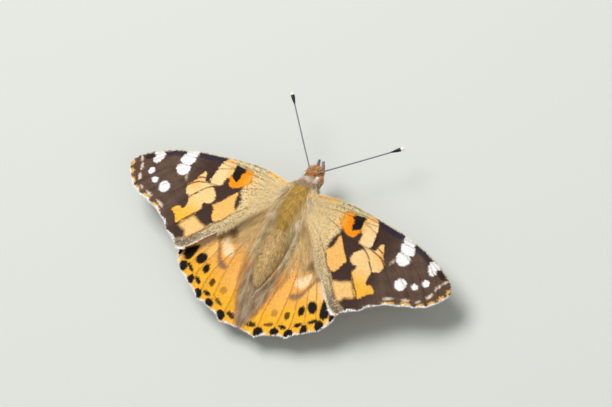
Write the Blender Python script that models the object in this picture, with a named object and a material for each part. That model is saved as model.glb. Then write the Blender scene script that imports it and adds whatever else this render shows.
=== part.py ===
"""Painted lady butterfly at rest with its wings spread flat, life size.

The head points along -Y, the animal's left is +X and +Z is up. The part stands on its middle
and hind feet, with its origin on the floor below the centre of its box. Sizes are written in
millimetres and become metres where each mesh is made.
"""

import math

import bpy
import numpy as np
from mathutils import Vector
from mathutils.geometry import delaunay_2d_cdt

for leftover in list(bpy.data.objects):
    bpy.data.objects.remove(leftover, do_unlink=True)

MM = 0.001
GAP = 0.32  # clear space kept between neighbouring parts
FLOOR = -6.4  # height of the floor below the middle of the thorax
SIDES = {"left": 1, "right": -1}

# Body: stations from front to back, each (y, half width, top, bottom).
NECK_Y = -4.75
WAIST_Y = 3.9
THORAX = [
    (NECK_Y, 1.5, 1.65, -0.95),
    (-4.2, 1.9, 2.05, -1.55),
    (-3.0, 2.25, 2.35, -2.2),
    (-1.2, 2.5, 2.6, -2.65),
    (0.8, 2.5, 2.55, -2.7),
    (2.4, 2.3, 2.25, -2.4),
    (3.4, 1.9, 1.75, -1.9),
    (WAIST_Y, 1.45, 1.25, -1.4),
]
ABDOMEN_TIP_Y = 14.6
ABDOMEN = [
    (WAIST_Y + GAP, 1.35, 1.15, -1.35),
    (5.2, 1.8, 1.45, -1.9),
    (6.8, 2.02, 1.5, -2.3),
    (8.8, 1.95, 1.28, -2.55),
    (10.8, 1.68, 0.85, -2.65),
    (12.6, 1.22, 0.2, -2.55),
    (13.8, 0.8, -0.45, -2.35),
    (ABDOMEN_TIP_Y, 0.32, -1.15, -1.95),
]
ABDOMEN_RINGS = 8
RING_GROOVE = 0.13
HEAD_BACK_Y = NECK_Y - GAP
HEAD = [
    (HEAD_BACK_Y, 1.35, 1.45, -0.7),
    (-5.5, 1.5, 1.6, -0.95),
    (-6.1, 1.5, 1.65, -1.1),
    (-6.8, 1.3, 1.45, -1.1),
    (-7.4, 0.9, 1.05, -0.9),
    (-7.8, 0.4, 0.55, -0.5),
]
EYE_CENTRE = (1.3, -6.15, 0.25)
EYE_RADII = (0.85, 0.95, 1.1)

# Mouth: a pair of palps held up before the face, and the coiled tongue between them.
PALP_ROOT = (0.85, -7.5, -1.35)
PALP_MID = (0.68, -8.35, -0.65)
PALP_TIP = (0.44, -9.2, 0.4)
PALP_RADIUS = 0.33
TONGUE_ROOT = (0.0, -6.9, -1.55)
COIL_CENTRE = (0.0, -6.35, -2.7)
COIL_START = math.radians(60)
COIL_TURNS = 1.1
COIL_OUTER = 1.02
COIL_PITCH = 0.82
TONGUE_RADIUS = 0.25

# Feelers: a thin shaft that ends in a club. The two are spread a little unevenly.
FEELER_ROOT = (0.62, -6.95, 1.95)
FEELER_TIPS = {"left": (10.5, -17.9, 2.5), "right": (12.4, -16.9, 0.5)}
FEELER_RADIUS = 0.25
CLUB_RADIUS = 0.5
CLUB_LENGTH = 2.6
FEELER_BOW = 0.12

# Wings lie in tilted planes. A point on one is (u, v): u outwards from the middle, v forwards.
WING_THICKNESS = 0.5
VEIN_RISE = 0.16
VEIN_HALF_WIDTH = 0.38
FOREWING_HINGE = (3.1, 3.13, 1.72)
FOREWING_DROOP = math.radians(-3.0)
FOREWING_TWIST = math.radians(1.4)
FOREWING_SWEEP = {"left": math.radians(-2.1), "right": 0.0}
FOREWING_REACH = 32.7
FOREWING_CAMBER = 0.3
HINDWING_HINGE = (2.4, 0.0, 0.75)
HINDWING_RISE = math.radians(3.5)
HINDWING_TWIST = math.radians(9.3)
WING_SPACING = 1.16  # between the middles of the two wings where one lies over the other

# Forewing edge: costa from the root to the apex, then vein ends, then the inner margin.
FOREWING_COSTA = [
    (2.6, 3.05),
    (6.2, 3.95),
    (9.5, 4.15),
    (14.8, 3.85),
    (20.8, 3.15),
    (25.2, 2.1),
    (29.2, 0.5),
    (31.9, -1.5),
    (32.75, -2.9),
]
FOREWING_VEIN_ENDS = [
    (32.5, -3.6),
    (31.6, -5.0),
    (30.1, -6.5),
    (28.2, -7.4),
    (25.4, -8.3),
    (22.4, -9.6),
    (20.0, -11.6),
    (17.1, -13.3),
]
FOREWING_INNER = [
    (17.1, -13.3),
    (16.1, -13.55),
    (14.5, -12.8),
    (11.7, -9.9),
    (9.3, -7.4),
    (6.6, -4.0),
    (4.0, -1.6),
    (2.6, -0.7),
]
FOREWING_SCALLOP = 0.14
FOREWING_VEINS = [
    [(2.9, 2.3), (7.5, 3.2), (13.0, 3.35), (18.5, 3.1), (20.8, 3.15)],
    [(2.9, 1.7), (8.0, 2.4), (12.8, 2.4), (16.4, 1.4), (19.5, 1.75), (22.3, 1.8), (25.5, 1.3),
     (29.2, -0.3), (32.5, -3.6)],
    [(12.8, 2.4), (17.5, 2.75), (22.0, 2.5), (25.2, 2.1)],
    [(24.0, 1.6), (27.2, 0.1), (29.6, -2.1), (31.6, -5.0)],
    [(16.4, 1.4), (16.6, 0.6), (16.55, -0.4), (16.3, -1.3)],
    [(16.6, 0.6), (19.5, 0.5), (22.5, 0.0), (25.2, -1.3), (27.8, -3.6), (30.1, -6.5)],
    [(16.55, -0.4), (20.0, -1.6), (24.0, -4.0), (28.2, -7.4)],
    [(2.9, 1.1), (5.1, 1.0), (8.2, 0.3), (10.2, -0.45), (12.4, -0.95), (14.5, -1.25), (16.3, -1.3)],
    [(16.3, -1.3), (18.8, -2.0), (20.6, -3.5), (23.0, -5.8), (25.4, -8.3)],
    [(14.5, -1.25), (16.5, -2.5), (19.0, -5.3), (22.4, -9.6)],
    [(10.2, -0.45), (12.0, -2.6), (13.9, -4.9), (16.4, -7.3), (20.0, -11.6)],
    [(2.9, 0.2), (6.5, -2.2), (10.5, -6.2), (14.0, -10.2), (17.1, -13.3)],
]

# Hindwing edge: costa hidden under the forewing, vein ends, and the edge beside the abdomen.
HINDWING_COSTA = [
    (3.6, 1.3),
    (7.5, 1.0),
    (11.5, -1.6),
    (14.6, -6.2),
    (16.1, -10.6),
    (16.3, -13.8),
]
HINDWING_VEIN_ENDS = [
    (16.3, -13.8),
    (15.8, -15.4),
    (14.25, -17.4),
    (11.8, -18.75),
    (9.2, -20.6),
    (6.5, -21.1),
    (3.65, -22.4),
    (0.8, -22.1),
]
HINDWING_SCALLOPS = [-0.05, -0.1, 0.14, 0.2, 0.3, 0.27, 0.1]
HINDWING_VEINS = [
    [(3.0, 0.3), (7.4, -0.2), (11.2, -3.0), (14.0, -7.4), (15.6, -11.4), (16.3, -13.8)],
    [(3.0, -0.5), (6.2, -3.4), (9.6, -7.2), (13.2, -11.4), (15.8, -15.4)],
    [(8.0, -5.4), (9.9, -9.3), (12.5, -14.6), (14.25, -17.4)],
    [(8.7, -6.9), (9.1, -10.8), (10.5, -14.6), (11.8, -18.75)],
    [(2.9, -1.2), (4.3, -5.2), (5.8, -9.4), (6.4, -14.3), (6.5, -21.1)],
    [(5.8, -9.4), (7.5, -12.4), (8.7, -15.8), (9.2, -20.6)],
    [(4.3, -5.2), (3.9, -11.0), (3.3, -17.4), (3.65, -22.4)],
]
EDGE_STEP = 1.25
VEIN_STEP = 1.9

# Legs: (x, y, height) points down each leg, from its hip to its toes.
HIP_CLEARANCE = 0.02
FORELEG = [(0.9, -3.1), (1.0, -3.9, -2.75), (1.0, -4.6, -2.6), (0.95, -5.05, -2.1)]
FORELEG_RADII = [0.42, 0.38, 0.32, 0.16]
MIDLEG = [
    (1.15, -0.9),
    (1.7, -1.2, -3.6),
    (5.2, -2.4, -2.5),
    (7.7, -2.9, -5.85),
    (8.5, -3.0, FLOOR),
    (11.0, -3.2, FLOOR),
]
HINDLEG = [
    (1.1, 1.9),
    (1.6, 2.4, -3.6),
    (5.0, 4.9, -2.6),
    (7.1, 7.9, -5.85),
    (7.5, 8.6, FLOOR),
    (8.6, 11.4, FLOOR),
]
WALKING_RADII = [0.42, 0.45, 0.34, 0.27, 0.26, 0.25]


def curve_through(points, steps):
    """Points of a smooth curve through the given ones, with steps pieces between neighbours.

    Each piece is a cubic whose end slopes are half the chord between the points beside it.
    """
    p = np.array(points, dtype=float)
    ends = np.vstack([2 * p[0] - p[1], p, 2 * p[-1] - p[-2]])
    slopes = (ends[2:] - ends[:-2]) / 2
    out = []
    for i in range(len(p) - 1):
        t = np.linspace(0, 1, steps, endpoint=False)[:, None]
        rise = p[i + 1] - p[i]
        bend = 3 * rise - 2 * slopes[i] - slopes[i + 1]
        curl = slopes[i] + slopes[i + 1] - 2 * rise
        out.append(p[i] + slopes[i] * t + bend * t**2 + curl * t**3)
    out.append(p[-1:])
    return np.vstack(out)


def even_steps(line, step):
    """The line again, with points about one step apart along its length."""
    lengths = np.r_[0, np.cumsum(np.linalg.norm(np.diff(line, axis=0), axis=1))]
    count = max(2, int(round(lengths[-1] / step)) + 1)
    at = np.linspace(0, lengths[-1], count)
    return np.column_stack([np.interp(at, lengths, line[:, k]) for k in range(line.shape[1])])


def smooth_line(points, step):
    return even_steps(curve_through(points, 12), step)


def material(name, colour, roughness):
    finish = bpy.data.materials.new(name)
    finish.use_nodes = True
    shader = finish.node_tree.nodes["Principled BSDF"]
    shader.inputs["Base Color"].default_value = (*colour, 1.0)
    shader.inputs["Roughness"].default_value = roughness
    shader.inputs["Metallic"].default_value = 0.0
    return finish


def make_object(name, points, triangles, finish):
    """A named object from millimetre points and outward triangles."""
    mesh = bpy.data.meshes.new(name)
    mesh.from_pydata((np.asarray(points) * MM).tolist(), [], [list(map(int, t)) for t in triangles])
    mesh.materials.append(finish)
    mesh.shade_smooth()
    mesh.set_sharp_from_angle(angle=math.radians(40))
    thing = bpy.data.objects.new(name, mesh)
    bpy.context.collection.objects.link(thing)
    return thing


def skin_of_rings(rings):
    """Points and triangles of the closed surface over a stack of rings, with flat ends."""
    count, sides = rings.shape[:2]
    points = np.vstack([rings.reshape(-1, 3), rings[0].mean(0)[None], rings[-1].mean(0)[None]])
    first, last = count * sides, count * sides + 1
    triangles = []
    for i in range(count - 1):
        for j in range(sides):
            a, b = i * sides + j, i * sides + (j + 1) % sides
            c, d = a + sides, b + sides
            triangles += [(a, c, b), (b, c, d)]
    for j in range(sides):
        k = (j + 1) % sides
        triangles.append((first, j, k))
        end = (count - 1) * sides
        triangles.append((last, end + k, end + j))
    return points, triangles


def turned_outwards(points, triangles):
    """The triangles, flipped if the surface they close is inside out."""
    p = np.asarray(points)
    t = np.array(triangles)
    volume = np.einsum("ij,ij->i", p[t[:, 0]], np.cross(p[t[:, 1]], p[t[:, 2]])).sum()
    return t if volume > 0 else t[:, ::-1]


def body_rings(stations, count, sides, groove=0.0, segments=0):
    """Rings of rounded sections along the body, pinched between segments."""
    table = curve_through(stations, 8)
    along = np.linspace(0, len(table) - 1, count)
    table = np.column_stack([np.interp(along, np.arange(len(table)), table[:, k]) for k in range(4)])
    angle = np.linspace(0, 2 * math.pi, sides, endpoint=False)
    rings = []
    for i, (y, half_width, top, bottom) in enumerate(table):
        share = i / (count - 1)
        pinch = groove * (1 + math.cos(2 * math.pi * segments * share)) / 2 if segments else 0.0
        half_height = (top - bottom) / 2 - pinch
        x = (half_width - pinch) * np.cos(angle)
        z = (top + bottom) / 2 + half_height * np.sin(angle)
        rings.append(np.column_stack([x, np.full(sides, y), z]))
    return np.array(rings)


def body_half_width(y, z):
    """Half the body's width at one place along it and one height, or 0 past its end."""
    widest = 0.0
    for stations in (THORAX, ABDOMEN):
        table = curve_through(stations, 8)
        if not table[0, 0] <= y <= table[-1, 0]:
            continue
        half_width, top, bottom = (np.interp(y, table[:, 0], table[:, k]) for k in (1, 2, 3))
        off_centre = (z - (top + bottom) / 2) / ((top - bottom) / 2)
        widest = max(widest, half_width * math.sqrt(max(0.0, 1 - off_centre**2)))
    return widest


def clear_of_body(y, z):
    """How far out a wing's edge must lie to clear the body on all of its thickness."""
    heights = [z + WING_THICKNESS * k for k in (-0.8, 0.0, 0.8)]
    places = [y - 0.3, y, y + 0.3]
    return max(body_half_width(p, h) for p in places for h in heights) + GAP


def forewing_surface(u, v, side):
    """Body coordinates (x out, y back, z up) of forewing point (u, v)."""
    across, along = u - FOREWING_HINGE[0], v - FOREWING_HINGE[1]
    sweep = FOREWING_SWEEP[side]
    out = math.cos(sweep) * across - math.sin(sweep) * along
    fore = math.sin(sweep) * across + math.cos(sweep) * along
    x = FOREWING_HINGE[0] + math.cos(FOREWING_DROOP) * out
    y = FOREWING_HINGE[1] + math.cos(FOREWING_TWIST) * fore
    z = FOREWING_HINGE[2] + math.sin(FOREWING_DROOP) * out + math.sin(FOREWING_TWIST) * fore
    share = np.clip(across / (FOREWING_REACH - FOREWING_HINGE[0]), 0, 1)
    z = z + FOREWING_CAMBER * (np.sin(math.pi * share) - 0.5)
    return x, -y, z


def hindwing_surface(u, v, side):
    """Body coordinates of hindwing point (u, v), held below the forewing where that covers it."""
    across, along = u - HINDWING_HINGE[0], v - HINDWING_HINGE[1]
    x = HINDWING_HINGE[0] + math.cos(HINDWING_RISE) * across
    y = HINDWING_HINGE[1] + math.cos(HINDWING_TWIST) * along
    z = HINDWING_HINGE[2] + math.sin(HINDWING_RISE) * across + math.sin(HINDWING_TWIST) * along
    roof = forewing_surface(x, y, side)[2] - WING_SPACING
    softness = 0.25
    z = -softness * np.logaddexp(-z / softness, -roof / softness)
    return x, -y, z


def scalloped(ends, depths):
    """A margin through the vein ends that dips inwards by each depth between two of them."""
    line = [np.array(ends[0], dtype=float)]
    for a, b, depth in zip(ends[:-1], ends[1:], depths):
        a, b = np.array(a, dtype=float), np.array(b, dtype=float)
        chord = b - a
        inwards = np.array([chord[1], -chord[0]]) / np.linalg.norm(chord)
        pieces = max(2, int(round(np.linalg.norm(chord) / EDGE_STEP)))
        for share in np.linspace(0, 1, pieces + 1)[1:]:
            line.append(a + chord * share + inwards * depth * math.sin(math.pi * share))
    return np.array(line)


def forewing_outline(side):
    costa = smooth_line(FOREWING_COSTA, EDGE_STEP * 1.4)
    margin = scalloped(FOREWING_VEIN_ENDS, [FOREWING_SCALLOP] * (len(FOREWING_VEIN_ENDS) - 1))
    inner = smooth_line(FOREWING_INNER, EDGE_STEP * 1.4)
    outline = np.vstack([costa, margin, inner[1:]])
    root = []
    for v in np.linspace(inner[-1, 1], costa[0, 1], 5):
        _, y, z = forewing_surface(costa[0, 0], v, side)
        root.append((clear_of_body(y, z), v))
    outline = outline[1:-1]
    return np.vstack([outline, root])


def hindwing_outline(side):
    costa = smooth_line(HINDWING_COSTA, EDGE_STEP * 1.4)
    margin = scalloped(HINDWING_VEIN_ENDS, HINDWING_SCALLOPS)
    inner = []
    for v in np.arange(margin[-1, 1] + 0.9, costa[0, 1], EDGE_STEP):
        _, y, z = hindwing_surface(1.0, v, side)
        inner.append((max(clear_of_body(y, z), GAP / 2 + 0.03), v))
    rear = (GAP / 2 + 0.03, margin[-1, 1])
    return np.vstack([costa, margin[1:], [rear], inner])


def distance_to_lines(point, lines):
    """The shortest distance from a point to any of the broken lines."""
    best = 1e9
    for line in lines:
        a, b = line[:-1], line[1:]
        along = b - a
        share = np.einsum("ij,ij->i", point - a, along) / np.einsum("ij,ij->i", along, along)
        near = a + along * np.clip(share, 0, 1)[:, None]
        best = min(best, float(np.linalg.norm(point - near, axis=1).min()))
    return best


def wing_triangles(outline, veins):
    """Flat triangles of a wing that hold its edge, its vein crests and the feet of its veins."""
    points = [tuple(p) for p in outline]
    edges = [(i, (i + 1) % len(points)) for i in range(len(points))]
    rim = np.vstack([outline, outline[:1]])

    def place(p, reach):
        gaps = np.linalg.norm(np.array(points) - p, axis=1)
        nearest = int(gaps.argmin())
        if gaps[nearest] < reach:
            return nearest
        points.append(tuple(p))
        return len(points) - 1

    crests = []
    for vein in veins:
        line = smooth_line(vein, VEIN_STEP)
        ids = []
        for i, p in enumerate(line):
            at_end = i in (0, len(line) - 1)
            if not at_end and distance_to_lines(p, [rim]) < 0.3:
                continue
            ids.append(place(p, 0.75 if at_end else 0.3))
        ids = [n for i, n in enumerate(ids) if i == 0 or n != ids[i - 1]]
        edges += list(zip(ids[:-1], ids[1:]))
        crests.append(np.array([points[n] for n in ids]))
    for i, line in enumerate(crests):
        others = crests[:i] + crests[i + 1 :]
        slope = np.gradient(line, axis=0)
        slope /= np.linalg.norm(slope, axis=1)[:, None]
        for hand in (1, -1):
            foot = line + hand * VEIN_HALF_WIDTH * np.column_stack([-slope[:, 1], slope[:, 0]])
            before = None
            for p in foot:
                free = distance_to_lines(p, others) > 0.6 and distance_to_lines(p, [rim]) > 0.3
                now = place(p, 0.2) if free else None
                if before is not None and now is not None and now != before:
                    edges.append((before, now))
                before = now
    result = delaunay_2d_cdt([Vector(p) for p in points], edges, [list(range(len(outline)))], 1, 1e-4)
    flat = np.array([tuple(p) for p in result[0]])
    return flat, np.array(result[2]), crests


def make_wing(name, side, outline, veins, surface, finish):
    """A wing 0.5 mm thick, with its veins as ridges above and below, alike on both faces."""
    flat, triangles, crests = wing_triangles(outline, veins)
    used = np.unique(triangles)
    renumber = np.full(len(flat), -1)
    renumber[used] = np.arange(len(used))
    flat, triangles = flat[used], renumber[triangles]
    rise = np.array([max(0.0, 1 - distance_to_lines(p, crests) / VEIN_HALF_WIDTH) for p in flat])
    half = WING_THICKNESS / 2 + VEIN_RISE * rise
    x, y, z = surface(flat[:, 0], flat[:, 1], side)
    middle = np.column_stack([x * SIDES[side], y, z])
    lift = np.column_stack([np.zeros((len(flat), 2)), half])
    count = len(flat)
    a, b, c = flat[triangles[:, 0]], flat[triangles[:, 1]], flat[triangles[:, 2]]
    area = (b[:, 0] - a[:, 0]) * (c[:, 1] - a[:, 1]) - (b[:, 1] - a[:, 1]) * (c[:, 0] - a[:, 0])
    upper = np.where((area > 0)[:, None], triangles, triangles[:, ::-1])
    sides = {(int(t[i]), int(t[(i + 1) % 3])) for t in upper for i in range(3)}
    rim = [(i, j) for i, j in sides if (j, i) not in sides]
    walls = [(i, i + count, j) for i, j in sorted(rim)]
    walls += [(j, i + count, j + count) for i, j in sorted(rim)]
    faces = np.vstack([upper, upper[:, ::-1] + count, walls])
    points = np.vstack([middle + lift, middle - lift])
    return make_object(name, points, turned_outwards(points, faces), finish)


def tube(path, radii, sides, floor=None):
    """Rings round a path, each square to it, kept above the floor if there is one."""
    path = np.asarray(path, dtype=float)
    slope = np.gradient(path, axis=0)
    slope /= np.linalg.norm(slope, axis=1)[:, None]
    rings = []
    across = np.cross(slope[0], (0.0, 0.0, 1.0))
    if np.linalg.norm(across) < 0.1:
        across = np.cross(slope[0], (0.0, 1.0, 0.0))
    for point, forward, radius in zip(path, slope, radii):
        across = across - forward * across.dot(forward)
        across /= np.linalg.norm(across)
        upright = np.cross(across, forward)
        angle = np.linspace(0, 2 * math.pi, sides, endpoint=False) + math.pi / sides
        ring = point + radius * (np.cos(angle)[:, None] * across + np.sin(angle)[:, None] * upright)
        if floor is not None:
            ring[:, 2] = np.maximum(ring[:, 2], floor)
        rings.append(ring)
    return np.array(rings)


def mirrored(points, side):
    return np.asarray(points) * (SIDES[side], 1, 1)


def make_tube(name, path, radii, sides, finish, side="left", floor=None):
    points, triangles = skin_of_rings(tube(path, radii, sides, floor))
    points = mirrored(points, side)
    return make_object(name, points, turned_outwards(points, triangles), finish)


def make_body(name, stations, count, sides, finish, groove=0.0, segments=0):
    points, triangles = skin_of_rings(body_rings(stations, count, sides, groove, segments))
    return make_object(name, points, turned_outwards(points, triangles), finish)


def ellipsoid(centre, radii, rings, sides):
    """Points and triangles of an ellipsoid, closed at its poles along x."""
    bend = np.linspace(0, math.pi, rings + 2)[1:-1]
    angle = np.linspace(0, 2 * math.pi, sides, endpoint=False)
    stack = []
    for t in bend:
        x = np.full(sides, radii[0] * math.cos(t))
        y = radii[1] * math.sin(t) * np.cos(angle)
        z = radii[2] * math.sin(t) * np.sin(angle)
        stack.append(np.column_stack([x, y, z]) + centre)
    points, triangles = skin_of_rings(np.array(stack))
    points[-2] = np.array(centre) + (radii[0], 0, 0)
    points[-1] = np.array(centre) - (radii[0], 0, 0)
    return points, turned_outwards(points, triangles)


def hip_height(x, y):
    """Height of a hip: one gap below the underside of the thorax at (x, y)."""
    table = curve_through(THORAX, 8)
    half_width, top, bottom = (np.interp(y, table[:, 0], table[:, k]) for k in (1, 2, 3))
    middle, half_height = (top + bottom) / 2, (top - bottom) / 2
    return middle - half_height * math.sqrt(1 - (x / half_width) ** 2) - GAP - HIP_CLEARANCE


def leg_points(points, radii):
    """The leg's path and its radius along it, starting one gap below the thorax."""
    x, y = points[0]
    inner = x - radii[0]
    outer = x + radii[0]
    lowest = min(hip_height(k, y + d) for k in (inner, x, outer) for d in (-radii[0], radii[0]))
    start = (x, y, lowest)
    below = zip(points[1:], radii[1:])
    path = [start] + [(px, py, max(pz, FLOOR + r * 0.8)) for (px, py, pz), r in below]
    table = np.column_stack([np.array(path), radii])
    fine = curve_through(table, 4)
    return fine[:, :3], fine[:, 3]


def make_head(finish):
    """The head capsule, hollowed on each side where an eye sits."""
    head = make_body("head", HEAD, 14, 20, finish)
    sockets = bpy.data.collections.new("sockets")
    for side in SIDES:
        socket = ellipsoid(mirrored(EYE_CENTRE, side), [r + GAP for r in EYE_RADII], 9, 18)
        cutter = make_object("socket_" + side, *socket, finish)
        sockets.objects.link(cutter)
    cut = head.modifiers.new("sockets", "BOOLEAN")
    cut.operation = "DIFFERENCE"
    cut.operand_type = "COLLECTION"
    cut.collection = sockets
    cut.solver = "EXACT"
    carved = bpy.data.meshes.new_from_object(head.evaluated_get(bpy.context.evaluated_depsgraph_get()))
    head.modifiers.clear()
    head.data = carved
    for cutter in list(sockets.objects):
        bpy.data.objects.remove(cutter, do_unlink=True)
    bpy.data.collections.remove(sockets)
    return head


def make_feeler(side, finish):
    """A feeler with a slight bow, swelling into its club and closing to a blunt tip."""
    root, tip = np.array(FEELER_ROOT), np.array(FEELER_TIPS[side])
    length = np.linalg.norm(tip - root)
    before_tip = CLUB_LENGTH * np.array([0.75, 0.55, 0.35, 0.15, 0.05, 0.0])
    stations = np.r_[np.linspace(0, length - CLUB_LENGTH, 9), length - before_tip]
    share = stations / length
    path = root + (tip - root) * share[:, None]
    path[:, 2] += FEELER_BOW * np.sin(math.pi * share)
    club = np.array([0.3, 0.62, 0.92, 1.0, 0.72, 0.3]) * CLUB_RADIUS
    radii = np.r_[np.full(9, FEELER_RADIUS), np.maximum(club, 0.15)]
    return make_tube("antenna_" + side, path, radii, 8, finish, side)


def make_tongue(finish):
    """The coiled tongue: a flat spiral in the middle plane, wound inwards from the mouth."""
    turn = np.linspace(0, COIL_TURNS * 2 * math.pi, 30)
    reach = COIL_OUTER - COIL_PITCH * turn / (2 * math.pi)
    spiral = np.column_stack([
        np.full(len(turn), COIL_CENTRE[0]),
        COIL_CENTRE[1] - reach * np.cos(COIL_START - turn),
        COIL_CENTRE[2] + reach * np.sin(COIL_START - turn),
    ])
    path = np.vstack([TONGUE_ROOT, spiral])
    radii = np.full(len(path), TONGUE_RADIUS)
    radii[-1] = TONGUE_RADIUS * 0.6
    return make_tube("proboscis", path, radii, 8, finish)


gold_fur = material("gold_fur", (0.36, 0.24, 0.09), 0.85)
tan_fur = material("tan_fur", (0.5, 0.3, 0.13), 0.85)
orange_scales = material("orange_scales", (0.85, 0.36, 0.06), 0.7)
deep_orange_scales = material("deep_orange_scales", (0.9, 0.4, 0.05), 0.7)
head_fur = material("head_fur", (0.42, 0.2, 0.08), 0.85)
eye_brown = material("eye_brown", (0.2, 0.08, 0.03), 0.25)
feeler_black = material("feeler_black", (0.06, 0.055, 0.06), 0.6)
tongue_brown = material("tongue_brown", (0.12, 0.06, 0.03), 0.45)
leg_buff = material("leg_buff", (0.45, 0.34, 0.22), 0.7)

make_body("thorax", THORAX, 17, 22, gold_fur)
make_body("abdomen", ABDOMEN, 3 * ABDOMEN_RINGS + 1, 20, tan_fur, RING_GROOVE, ABDOMEN_RINGS)
make_head(head_fur)
make_tongue(tongue_brown)
for side in SIDES:
    eye = ellipsoid(mirrored(EYE_CENTRE, side), EYE_RADII, 9, 16)
    make_object("eye_" + side, *eye, eye_brown)
    palp_path = curve_through([PALP_ROOT, PALP_MID, PALP_TIP], 3)
    palp_radii = PALP_RADIUS * np.array([0.8, 1.0, 1.0, 0.95, 0.8, 0.6, 0.35])
    make_tube("palp_" + side, palp_path, palp_radii, 8, tan_fur, side)
    make_feeler(side, feeler_black)
    outline = forewing_outline(side)
    make_wing("forewing_" + side, side, outline, FOREWING_VEINS, forewing_surface, orange_scales)
    outline = hindwing_outline(side)
    make_wing("hindwing_" + side, side, outline, HINDWING_VEINS, hindwing_surface, deep_orange_scales)
    make_tube("foreleg_" + side, *leg_points(FORELEG, FORELEG_RADII), 8, leg_buff, side)
    make_tube("midleg_" + side, *leg_points(MIDLEG, WALKING_RADII), 8, leg_buff, side, FLOOR)
    make_tube("hindleg_" + side, *leg_points(HINDLEG, WALKING_RADII), 8, leg_buff, side, FLOOR)

# The origin moves to the floor, below the centre of the whole part's box.
parts = [thing for thing in bpy.data.objects if thing.type == "MESH"]
corners = np.array([tuple(vertex.co) for thing in parts for vertex in thing.data.vertices])
lowest, highest = corners.min(0), corners.max(0)
shift = Vector((-(lowest[0] + highest[0]) / 2, -(lowest[1] + highest[1]) / 2, -lowest[2]))
for thing in parts:
    for vertex in thing.data.vertices:
        vertex.co += shift
    thing.data.update()
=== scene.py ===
import math
import bpy
import numpy as np
from mathutils import Matrix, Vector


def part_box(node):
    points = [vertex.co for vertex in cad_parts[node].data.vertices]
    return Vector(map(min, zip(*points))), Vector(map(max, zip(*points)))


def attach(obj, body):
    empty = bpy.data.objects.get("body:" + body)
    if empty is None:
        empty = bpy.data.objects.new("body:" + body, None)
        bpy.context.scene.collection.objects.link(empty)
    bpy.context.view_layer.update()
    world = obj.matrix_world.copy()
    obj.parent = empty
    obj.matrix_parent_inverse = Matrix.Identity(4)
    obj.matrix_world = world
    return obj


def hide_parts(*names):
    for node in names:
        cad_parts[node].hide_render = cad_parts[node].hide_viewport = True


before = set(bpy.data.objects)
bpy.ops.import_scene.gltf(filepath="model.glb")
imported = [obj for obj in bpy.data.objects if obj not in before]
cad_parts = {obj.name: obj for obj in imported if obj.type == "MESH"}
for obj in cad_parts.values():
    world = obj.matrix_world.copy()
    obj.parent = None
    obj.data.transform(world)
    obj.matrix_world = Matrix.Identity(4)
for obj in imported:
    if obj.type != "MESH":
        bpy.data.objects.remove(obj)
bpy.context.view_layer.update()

# The body's own axes, on which every size below is measured in millimetres: x to the animal's
# left, y towards its tail and z up, from the middle of the thorax. The solids' thorax gives the
# place of that point, and the floor lies one standing height below it.
MM = 0.001
NECK_FORWARD = 4.75
STANDING_HEIGHT = 6.4
FLOOR = -STANDING_HEIGHT
SIDES = {"left": 1, "right": -1}
thorax_low, thorax_high = (np.array(corner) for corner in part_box("thorax"))
middle = np.array([
    (thorax_low[0] + thorax_high[0]) / 2,
    thorax_low[1] + NECK_FORWARD * MM,
    STANDING_HEIGHT * MM,
])

# A plain pale floor and a pale room, lit by one broad soft lamp high on the picture's left and a
# weaker one opposite, as an overcast bright day lights the insect from above.
floor_mesh = bpy.data.meshes.new("floor")
half_floor = 1.5
floor_mesh.from_pydata(
    [(across * half_floor, along * half_floor, 0) for across, along in ((-1, -1), (1, -1), (1, 1), (-1, 1))],
    [], [(0, 1, 2, 3)])
floor = bpy.data.objects.new("floor", floor_mesh)
bpy.context.collection.objects.link(floor)
floor_finish = bpy.data.materials.new("floor_paper")
floor_finish.use_nodes = True
floor_shader = floor_finish.node_tree.nodes["Principled BSDF"]
floor_shader.inputs["Base Color"].default_value = (0.58, 0.6, 0.56, 1)
floor_shader.inputs["Roughness"].default_value = 0.9
floor_mesh.materials.append(floor_finish)

room = bpy.data.worlds.new("room")
room.use_nodes = True
room.node_tree.nodes["Background"].inputs["Color"].default_value = (1.0, 1.0, 1.0, 1)
room.node_tree.nodes["Background"].inputs["Strength"].default_value = 0.31
bpy.context.scene.world = room
bpy.context.scene.view_settings.view_transform = "Standard"

# The camera looks down on the back from the animal's right rear, as a person would who bends
# over it. Its three axes and its distance were worked out from matching marks on both wings.
CAMERA_RIGHT = np.array([-0.80904, -0.48726, -0.32867])
CAMERA_UP = np.array([0.34828, -0.84790, 0.39972])
CAMERA_BACK = np.array([-0.47344, 0.20892, 0.85569])
CAMERA_DISTANCE = 600.0
PIXELS_PER_MM = 6.02
PICTURE_WIDTH, PICTURE_HEIGHT = 612, 407
MIDDLE_PIXEL = (295.4, 210.0)
SENSOR = 36.0
aside = (PICTURE_WIDTH / 2 - MIDDLE_PIXEL[0]) / PIXELS_PER_MM
above = (MIDDLE_PIXEL[1] - PICTURE_HEIGHT / 2) / PIXELS_PER_MM
eye_point = middle + MM * (CAMERA_RIGHT * aside + CAMERA_UP * above + CAMERA_BACK * CAMERA_DISTANCE)
camera_data = bpy.data.cameras.new("camera")
camera_data.sensor_width = SENSOR
camera_data.lens = PIXELS_PER_MM * CAMERA_DISTANCE * SENSOR / PICTURE_WIDTH
camera_data.clip_start = 0.01
camera = bpy.data.objects.new("camera", camera_data)
bpy.context.collection.objects.link(camera)
camera_axes = np.eye(4)
camera_axes[:3, :3] = np.column_stack([CAMERA_RIGHT, CAMERA_UP, CAMERA_BACK])
camera_axes[:3, 3] = eye_point
camera.matrix_world = Matrix(camera_axes.tolist())
bpy.context.scene.camera = camera


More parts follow.
